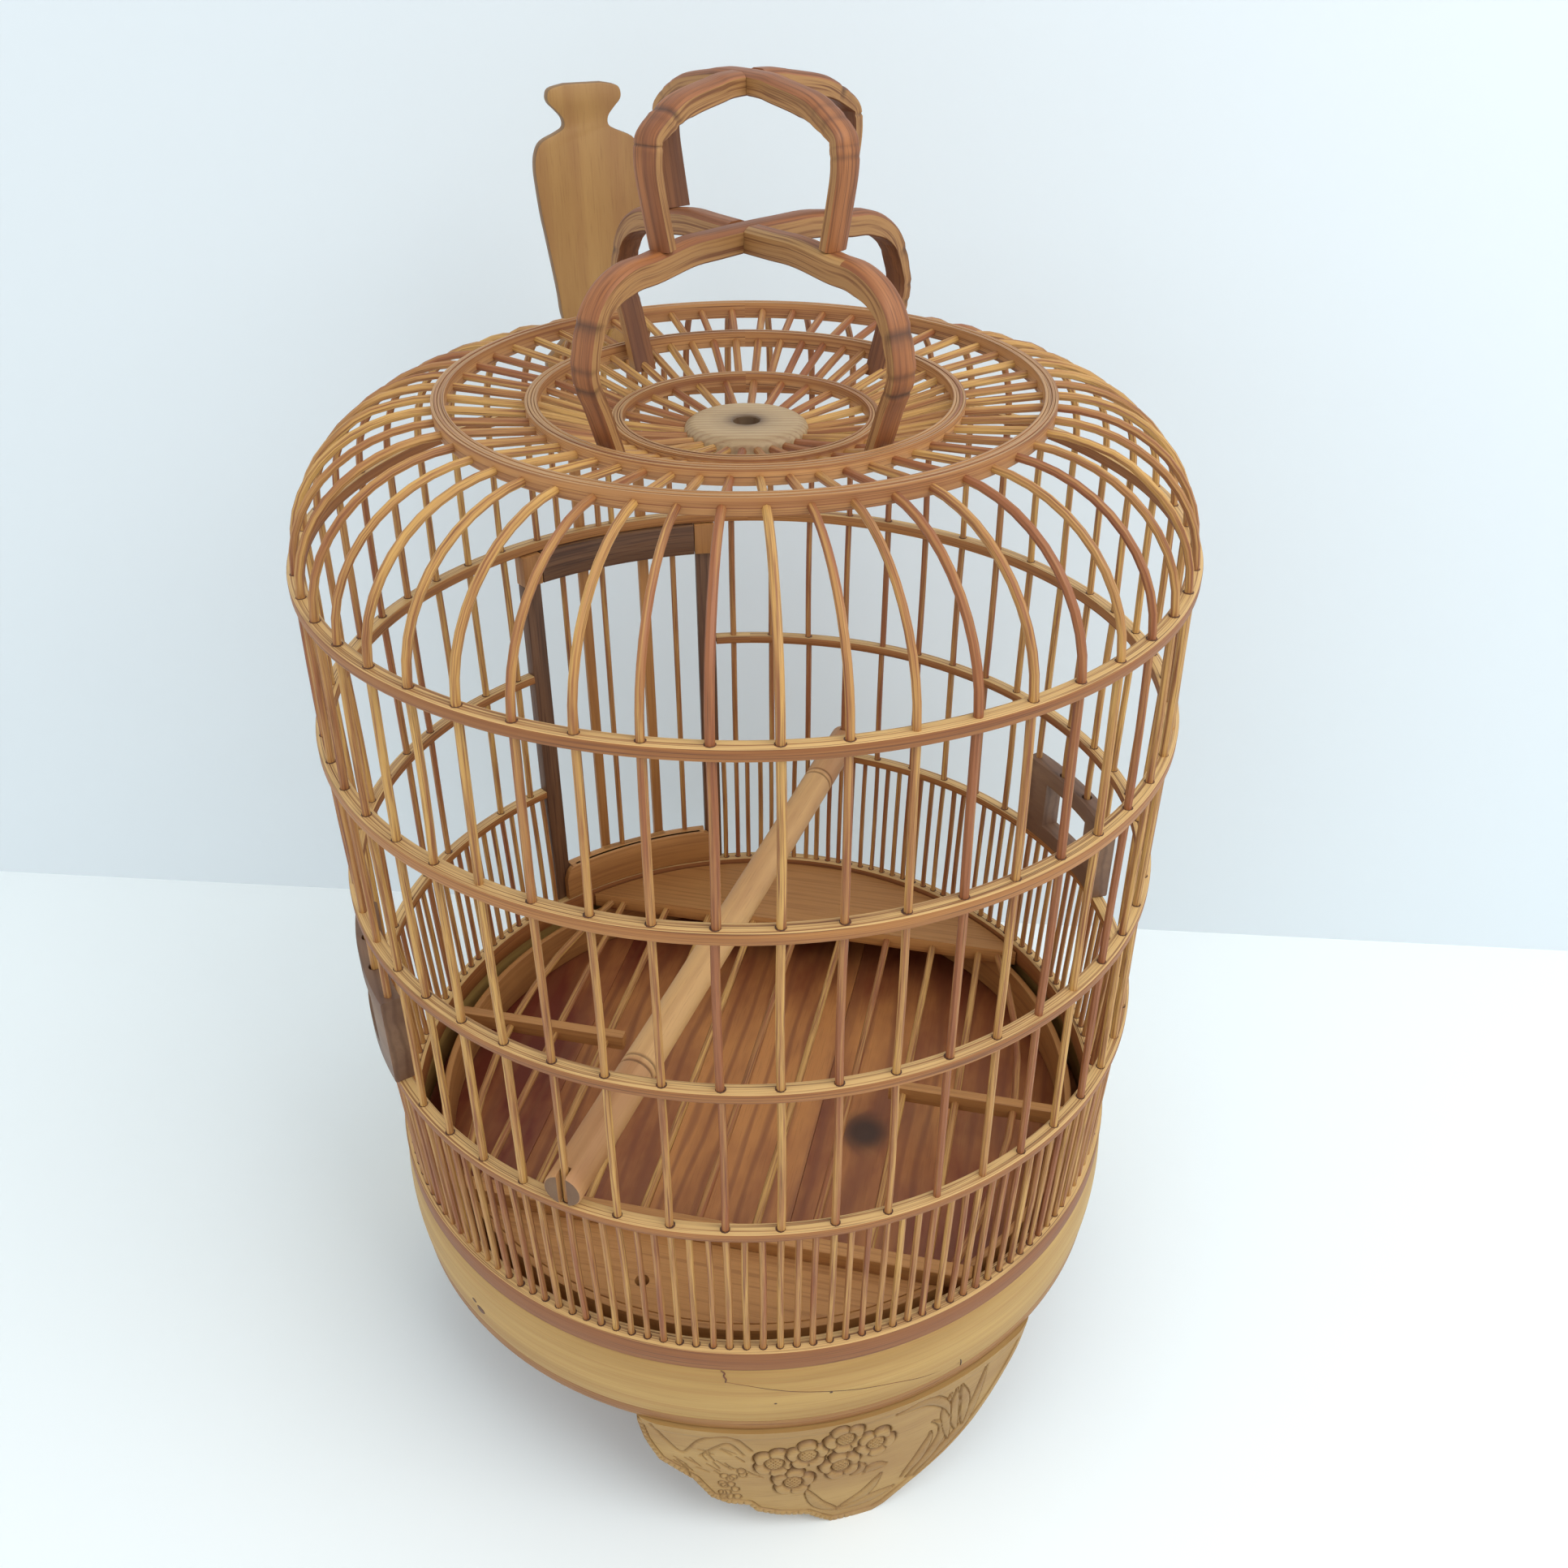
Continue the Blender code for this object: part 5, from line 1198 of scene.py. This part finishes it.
for name, side in (("left", 1), ("right", -1)):
    turn = cage["door"] + side * postTurn
    half = doorStyle["postDepth"] / 2
    doorBlock(
        f"door_post_{name}", 0, postWidth, upper["radius"] + half, upper["radius"] - half, railLow,
        lintelLow - gap, 0.0, "postBamboo", "root", turn,
    )
    doorBlock(
        f"door_block_{name}", 0, doorStyle["blockWidth"], blockOut, blockIn, lintelLow, lintelTop, 0.2,
        "boardBamboo", "root", turn,
    )
lintelHalf = postTurn - math.degrees((doorStyle["blockWidth"] / 2 + gap) / blockIn)
lintel = spun("doorLintel", stripSection(
    blockIn, lintelLow, doorStyle["lintelDepth"], doorStyle["lintelHeight"], doorStyle["ease"],
), 24, 2 * lintelHalf, cage["door"])
dress(grainRound(lintel), "postBamboo", "golden_bamboo", "root", "door_lintel")

doorHalf = math.degrees(math.asin(doorWidth / 2 / upper["radius"]))
tongueOut = upper["radius"] - doorStyle["postDepth"] / 2 - gap
railIn = tongueOut - doorStyle["tongue"]
tongueHalf = doorHalf + math.degrees(doorStyle["lap"] / upper["radius"])
railOut = doorRadius + doorStyle["cover"]
railTop = railLow + doorStyle["railHeight"]


def roundEnds(piece, half):
    points = pointsOf(piece.data)
    turn = np.degrees(azimuthOf(points[:, 0], points[:, 1]))
    toEnd = (half - np.abs(turn)) * math.radians(1) * upper["radius"]
    corner = doorStyle["railCorner"]
    inwards = np.clip(corner - toEnd, 0, corner)
    fall = corner - np.sqrt(corner ** 2 - inwards ** 2)
    share = (points[:, 2] / mm - railLow) / doorStyle["railHeight"]
    points[:, 2] -= fall * mm * np.clip(share, 0, 1)
    movePoints(piece.data, points)


backRail = spun("doorRail", stripSection(
    railIn, railLow, doorStyle["tongue"], doorStyle["railHeight"], doorStyle["ease"],
), 48, 2 * tongueHalf)
roundEnds(backRail, tongueHalf)
grainRound(backRail)
faceRail = spun("doorRailFace", stripSection(
    railIn + 1, railLow, railOut - railIn - 1, doorStyle["railHeight"], doorStyle["ease"],
), 40, 2 * (doorHalf - doorStyle["faceShort"]))
grainRound(faceRail)
padHalf = doorStyle["stripPlace"] + doorStyle["stripWidth"] / 2 + gap
pad = block("doorPad", (-padHalf, -railOut, railLow), (padHalf, -tongueOut, railTop), doorStyle["padEase"])
grainAlong(pad, 0)
rail = joined("doorRail", [backRail, faceRail, pad])
dress(turnTo(rail, cage["door"]), "boardBamboo", "golden_bamboo", "door", "door_rail")

thinOne = roundRod("thinOne", doorStyle["thinBar"], 10, 5)
thinEnds = [(doorRadius, height) for height in (railTop - doorStyle["barSunk"], doorStyle["barTop"])]
for name, share in zip(("right", "middle", "left"), doorStyle["barShares"]):
    node = f"door_bar_{name}"
    thin = layBetween(thinOne, nameOf(node), cage["door"] + share * doorHalf, thinEnds, 0.1)
    dress(thin, "rodBamboo", "golden_bamboo", "door", node)
bpy.data.objects.remove(thinOne)
for name, side in (("right", -1), ("left", 1)):
    doorBlock(
        f"door_strip_{name}", side * doorStyle["stripPlace"], doorStyle["stripWidth"],
        stripInside + doorStyle["stripDepth"], stripInside, railLow, doorStyle["stripTop"], 0.2,
        "boardBamboo", "door", cage["door"],
    )

# Half of the vase outline: share of the half width, and share of the height
vaseShares = (
    (0.603, 0.157), (0.717, 0.225), (0.759, 0.317), (0.886, 0.500), (0.945, 0.579), (0.987, 0.675),
    (1.000, 0.733), (0.962, 0.783), (0.844, 0.820), (0.560, 0.845), (0.420, 0.862), (0.425, 0.890),
    (0.545, 0.918), (0.655, 0.940), (0.680, 0.962), (0.610, 0.986), (0.330, 0.998),
)
plateHalf, plateHeight = doorStyle["plateHalf"], doorStyle["plateHeight"]
vasePath = smoothPath([Vector((across * plateHalf, up * plateHeight, 0)) for across, up in vaseShares])
halfOutline = [(doorStyle["plateFootHalf"], up * plateHeight) for up in (0, 0.067)]
halfOutline += [tuple(vasePath(step / 60))[:2] for step in range(61)]
outline = halfOutline + [(-across, up) for across, up in reversed(halfOutline)]
plateNear = stripInside + doorStyle["stripDepth"] + gap
plate = solidFrom("doorPlate", [
    inMetres((doorStyle["plateOffset"] + across, -plateNear, doorStyle["plateFoot"] + up))
    for across, up in outline
], (0, -doorStyle["plateDepth"] * mm, 0))
easeEdges(plate, doorStyle["plateEase"] * mm, 2, 50)
grainAlong(plate, 2)
stain(plate, lambda corners, normals: 0.45 * (np.abs(normals[:, 1]) < 0.8))
dress(turnTo(plate, cage["door"]), "plateWood", "honey_bamboo", "door", "door_plate")
print("door made")


# Perch: turned, with two groove rings near each end, and slots that straddle a bar
perchStyle = {
    "width": 15.0, "sides": 32, "bars": (-3, 24), "overhang": 3.2, "slotDepth": 5.2, "slotHalf": 1.9,
    "collars": (64.0, 47.0),
}
perchEnds = [polar(barAzimuth(number), hoops["lower"]["radius"], 0) for number in perchStyle["bars"]]
perchChord = perchEnds[1] - perchEnds[0]
perchHalf = perchChord.length / 2 / mm + perchStyle["overhang"]
perchUp = hoops["lower"]["top"] + gap + perchStyle["width"] / 2


# Distance from the end in mm, and the radius there as a share of the perch's
def perchTurning(collar):
    grooves = (
        (-2.6, 1.0), (-2.2, 0.91), (-1.4, 0.91), (-1.0, 0.99), (1.0, 0.99), (1.4, 0.91), (2.2, 0.91),
        (2.8, 0.985),
    )
    return [(0.0, 0.93), (0.8, 1.0), *((collar + step, share) for step, share in grooves), (90.0, 0.97)]


stations = [(-perchHalf + step, share) for step, share in perchTurning(perchStyle["collars"][0])]
stations += [(perchHalf - step, share) for step, share in reversed(perchTurning(perchStyle["collars"][1]))]
bpy.ops.mesh.primitive_circle_add(
    vertices=perchStyle["sides"], radius=perchStyle["width"] / 2 * stations[0][1] * mm, fill_type="NGON",
    location=(stations[0][0] * mm, 0, 0), rotation=(0, math.pi / 2, 0),
)
perch = newest("perch")
applyPlace()
startEdit()
for (before, first), (after, second) in zip(stations, stations[1:]):
    bpy.ops.mesh.extrude_region_move(TRANSFORM_OT_translate={"value": ((after - before) * mm, 0, 0)})
    bpy.ops.transform.resize(value=(1, second / first, second / first), center_override=(after * mm, 0, 0))
finishEdit()
slotDepth = perchStyle["slotDepth"]
for side in (-1, 1):
    middle = side * (perchHalf - slotDepth / 2 + 1)
    size = (slotDepth + 2, 2 * perchStyle["slotHalf"], 2 * perchStyle["width"])
    cutWith(perch, box("perchSlot", (middle * mm, 0, 0), inMetres(size)))
grainAlong(perch, 0)
corners, centres, normals, indices = cornersOf(perch.data)
fromEnds = [corners[:, 0] / mm + perchHalf, perchHalf - corners[:, 0] / mm]
turnedEnd = (fromEnds[0] < perchStyle["collars"][0]) | (fromEnds[1] < perchStyle["collars"][1])
store(perch.data, "tint", np.where(turnedEnd, 0.4, -0.4))
reach = np.hypot(corners[:, 1], corners[:, 2]) / (perchStyle["width"] / 2 * mm)
grooved = (reach > 0.85) & (reach < 0.92) & (np.minimum(*fromEnds) > 2)
store(perch.data, "mark", 0.55 * grooved + 0.75 * (np.abs(normals[:, 0]) > 0.9) * (np.minimum(*fromEnds) < 1))
perch.data.transform(
    Matrix.Translation((perchEnds[0] + perchEnds[1]) / 2 + Vector((0, 0, perchUp * mm)))
    @ Matrix.Rotation(math.atan2(perchChord.y, perchChord.x), 4, "Z")
)
dress(perch, "perchWood", "brown_bamboo", "perch", "perch")


# Feeder frames, each on four bars
feederStyle = {"bars": (15, -11), "depth": 8.4, "edge": 3.5, "sill": 8.5, "window": (34.0, 24.0), "head": 8.5,
               "ease": 0.8, "clearance": 0.9}
feederLow = hoops["lower"]["top"] + gap
feederHigh = feederLow + feederStyle["sill"] + feederStyle["window"][1] + feederStyle["head"]
feederHalf = math.degrees(feederStyle["edge"] / hoops["lower"]["radius"]) + 1.5 * pitch
for name, first in zip(("right", "left"), feederStyle["bars"]):
    azimuth = barAzimuth(first + 1.5)
    radius = hoops["lower"]["radius"]
    feeder = spun("feeder" + name.capitalize(), stripSection(
        radius - feederStyle["depth"] / 2, feederLow, feederStyle["depth"], feederHigh - feederLow,
        feederStyle["ease"],
    ), 16, 2 * feederHalf)
    middle = (0, -radius, (feederLow + feederHigh) / 2)
    size = (feederStyle["window"][0], 40, feederStyle["window"][1])
    cutWith(feeder, box("feederWindow", inMetres(middle), inMetres(size)))
    for side in (-1, 1):
        bore = polar(side * pitch / 2, hoops["middle"]["radius"], feederHigh)
        bpy.ops.mesh.primitive_cylinder_add(
            vertices=12, radius=(barStyle["width"] / 2 + feederStyle["clearance"]) * mm,
            depth=4 * feederStyle["head"] * mm, location=bore,
        )
        cutWith(feeder, newest("feederBore"))
    grainAlong(feeder, 0)
    dress(turnTo(feeder, azimuth), "feederWood", "red_wood", f"feeder_{name}", f"feeder_frame_{name}")
print("perch and feeder frames made")


# Handle: strips shaped like jointed cane and bent to arches, half lapped where they cross
# Azimuths are those of each arch's front leg and back leg. The stock is thick at the crown and thinned for
# the legs. What is shaved off its outer edges is given from the side and from the top, in mm.
handleStyle = {
    "width": 9.2, "steps": 640, "azimuths": ((-41.3, 131.0), (39.0, 217.5)), "bottomEase": 0.5,
    "shaved": ((0.0, 1.5), (0.8, 0.6), (2.4, 0.0)), "bendStart": 7.0, "bendEnd": 30.0, "groovePlace": 1.9,
    "grooveWidth": 0.55, "grooveDepth": 0.1, "jointWidth": 5.0, "jointSwell": 0.05, "legStart": (0.16, 0.30),
}
arches = {
    "lower": {
        "thick": 8.4, "legThick": 4.4, "halfSpan": 78.4, "rise": 65.8, "low": 429.4, "onTop": 1, "aside": 0.4,
        "length": 300.0, "scar": (0.50, 0.62),
        "nodes": ((0.133, 0.186, 0.232), (0.135, 0.176, 0.222)),
        "shares": (
            (0.190, 1.000), (0.379, 1.000), (0.587, 0.968), (0.714, 0.957), (0.823, 0.912), (0.906, 0.836),
            (0.957, 0.737), (0.994, 0.582), (1.000, 0.479), (0.978, 0.386), (0.948, 0.298), (0.894, 0.111),
            (0.864, 0.000),
        ),
    },
    "upper": {
        "thick": 6.8, "legThick": 4.2, "halfSpan": 48.5, "rise": 47.6, "low": 493.4, "onTop": 2, "aside": 1.8,
        "length": 165.0, "scar": (2.0, 2.1),
        "nodes": ((0.165, 0.265), (0.163, 0.272)),
        "shares": (
            (0.190, 1.000), (0.353, 0.978), (0.608, 0.934), (0.755, 0.880), (0.941, 0.759), (0.990, 0.661),
            (1.000, 0.497), (0.961, 0.278), (0.902, 0.000),
        ),
    },
}


# Half of a stock's section is flat inside and has its outer edge shaved off.
def archStock(name, thick):
    half, side = thick / 2, handleStyle["width"] / 2
    ease = handleStyle["bottomEase"]
    section = [(side - ease, -half), (side, ease - half)]
    section += [(side - inwards, half - down) for inwards, down in handleStyle["shaved"]]
    section += [(-across, up) for across, up in reversed(section)]
    piece = solidFrom(name, [inMetres((across, up, 0)) for across, up in section], (0, 0, 1))
    divideLength(piece, handleStyle["steps"] - 1)
    return piece


# How deep the cane's double grooves and how high its joint are at a share of the arch's length.
def caneJoint(share, nodes, length):
    groove, joint = 0.0, 0.0
    for node in nodes:
        away = abs(min(share, 1 - share) - node) * length
        beside = (away - handleStyle["groovePlace"]) / handleStyle["grooveWidth"]
        groove = max(groove, math.exp(-beside ** 2))
        joint = max(joint, math.exp(-(away / handleStyle["jointWidth"]) ** 2))
    return groove, joint


# Turns the arch's front half and back half to their own azimuths.
def turnHalves(piece, front, back):
    points = pointsOf(piece.data)
    reach = (np.abs(points[:, 0]) / mm - handleStyle["bendStart"]) / handleStyle["bendEnd"]
    reach = np.clip(reach, 0, 1) ** 0.5
    middle = (front + back - 180) / 2
    own = np.where(points[:, 0] > 0, front, back - 180)
    turn = np.radians(middle + (own - middle) * reach - 90)
    across, along = points[:, 0].copy(), points[:, 1].copy()
    points[:, 0] = across * np.cos(turn) - along * np.sin(turn)
    points[:, 1] = across * np.sin(turn) + along * np.cos(turn)
    movePoints(piece.data, points)


def makeArch(level, number):
    arch = arches[level]
    nodes = arch["nodes"][number - 1]
    half = [(across * arch["halfSpan"], arch["low"] + up * arch["rise"]) for across, up in arch["shares"]]
    outside = [(-across, up) for across, up in reversed(half)] + half
    inwards = arch["thick"] / 2
    spine = []
    for place, (across, up) in enumerate(outside):
        before, after = outside[max(place - 1, 0)], outside[min(place + 1, len(outside) - 1)]
        along = Vector((after[0] - before[0], after[1] - before[1])).normalized()
        spine.append(Vector((across + along.y * inwards, 0, up - along.x * inwards)) * mm)
    node = f"handle_{level}_{number}"
    piece = archStock(nameOf(node), arch["thick"])
    corners, centres, normals, indices = cornersOf(piece.data)
    skin = corners[:, 1] > (1.0 - inwards) * mm
    inner = normals[:, 1] < -0.7
    grooves = np.array([caneJoint(share, nodes, arch["length"])[0] for share in corners[:, 2]])
    low, high = arch["scar"]
    scar = (number != arch["onTop"]) & (centres[:, 2] > low) & (centres[:, 2] < high)
    scar &= (normals[:, 1] > 0.3) & (normals[:, 1] < 0.95)
    points = pointsOf(piece.data)
    thinner = (1.0, arch["legThick"] / arch["thick"])
    toCrown = np.interp(np.abs(points[:, 2] - 0.5), handleStyle["legStart"], thinner)
    points[:, 1] = inwards * mm - (inwards * mm - points[:, 1]) * toCrown
    movePoints(piece.data, points)

    def swell(share):
        groove, joint = caneJoint(share, nodes, arch["length"])
        return 1 + handleStyle["jointSwell"] * joint - handleStyle["grooveDepth"] * groove

    layAlong(piece, smoothPath(spine), Vector((0, 1, 0)), chance.uniform(-0.1, 0.1), swell)
    # Dark at the cane's joints; on the inner faces painted shade together with dirt.
    store(piece.data, "mark", np.maximum(0.9 * grooves * skin, 0.4 * inner))
    store(piece.data, "upperFace", np.maximum(0.7 * (np.abs(normals[:, 0]) > 0.8), scar))
    top = arch["low"] + arch["rise"]
    halfway = top - arch["thick"] / 2
    lap = (top - arch["thick"] - 4, halfway) if number == arch["onTop"] else (halfway, top + 4)
    own, other = (sum(handleStyle["azimuths"][place]) / 2 for place in (number - 1, 2 - number))
    size = (3 * handleStyle["width"], handleStyle["width"] + 0.2, lap[1] - lap[0])
    middle = (0, 0, (lap[0] + lap[1]) / 2 * mm)
    cutWith(piece, box("lapTool", middle, inMetres(size), math.radians(other - own)))
    turnHalves(piece, *handleStyle["azimuths"][number - 1])
    piece.data.transform(Matrix.Translation((arch["aside"] * mm, 0, 0)))
    dress(piece, "handleBamboo", "honey_bamboo", "root", node)


for level in arches:
    for number in (1, 2):
        makeArch(level, number)
print("handle made")


# Stage, light and camera
stageStyle = {"floor": "#F0F7F8", "wall": "#E1EAEF", "world": "#FAFBFC", "worldStrength": 0.82, "size": 8,
              "wallPlace": 0.2614, "wallTurn": -6.1}


# Matt paper, seen through from its back so that a view from behind the wall still shows the cage.
def stageFinish(name, colour):
    material, tree = startMaterial(name)
    shader = addNode(tree, "BsdfPrincipled", {"Base Color": linear(colour), "Roughness": 0.9})
    clear = addNode(tree, "BsdfTransparent")
    face = addNode(tree, "NewGeometry")
    oneSided = addNode(
        tree, "MixShader", links={0: face.outputs["Backfacing"], 1: shader.outputs[0], 2: clear.outputs[0]}
    )
    addNode(tree, "OutputMaterial", links={"Surface": oneSided.outputs[0]})
    return material


bpy.ops.mesh.primitive_plane_add(size=stageStyle["size"], location=(0, 0, 0))
floor = newest("stageFloor")
floor.data.materials.append(stageFinish("paperFloor", stageStyle["floor"]))
bpy.ops.mesh.primitive_plane_add(
    size=stageStyle["size"], location=(0, stageStyle["wallPlace"], stageStyle["size"] / 2),
    rotation=(math.pi / 2, 0, math.radians(stageStyle["wallTurn"])),
)
wall = newest("stageWall")
applyPlace()
wall.data.materials.append(stageFinish("paperWall", stageStyle["wall"]))

scene = bpy.context.scene
world = bpy.data.worlds.new("studio")
scene.world = world
world.use_nodes = True
background = world.node_tree.nodes["Background"]
background.inputs["Color"].default_value = linear(stageStyle["world"])
background.inputs["Strength"].default_value = stageStyle["worldStrength"]
lamps = {
    "keyLight": {"place": (0.9, -0.7, 1.5), "size": 1.2, "watts": 15},
    "fillLight": {"place": (-1.1, -0.9, 1.1), "size": 1.5, "watts": 4},
}
for name, lamp in lamps.items():
    bpy.ops.object.light_add(type="AREA", location=lamp["place"])
    light = bpy.context.object
    light.name = name
    light.data.size = lamp["size"]
    light.data.energy = lamp["watts"]
    light.rotation_euler = (Vector((0, 0, 0.25)) - Vector(lamp["place"])).to_track_quat("-Z", "Y").to_euler()

cameraStyle = {"place": (0.0, -0.4966, 0.5967), "down": 33.158, "right": 1.583, "roll": 0.098, "lens": 32.53}
bpy.ops.object.camera_add(location=cameraStyle["place"])
camera = bpy.context.object
camera.name = "camera"
camera.data.lens = cameraStyle["lens"]
camera.data.sensor_width = 36
camera.rotation_euler = (
    Matrix.Rotation(-math.radians(cameraStyle["right"]), 3, "Z")
    @ Matrix.Rotation(math.radians(90 - cameraStyle["down"]), 3, "X")
    @ Matrix.Rotation(math.radians(cameraStyle["roll"]), 3, "Z")
).to_euler()
scene.camera = camera
scene.view_settings.view_transform = "Standard"
print("stage, light and camera made")
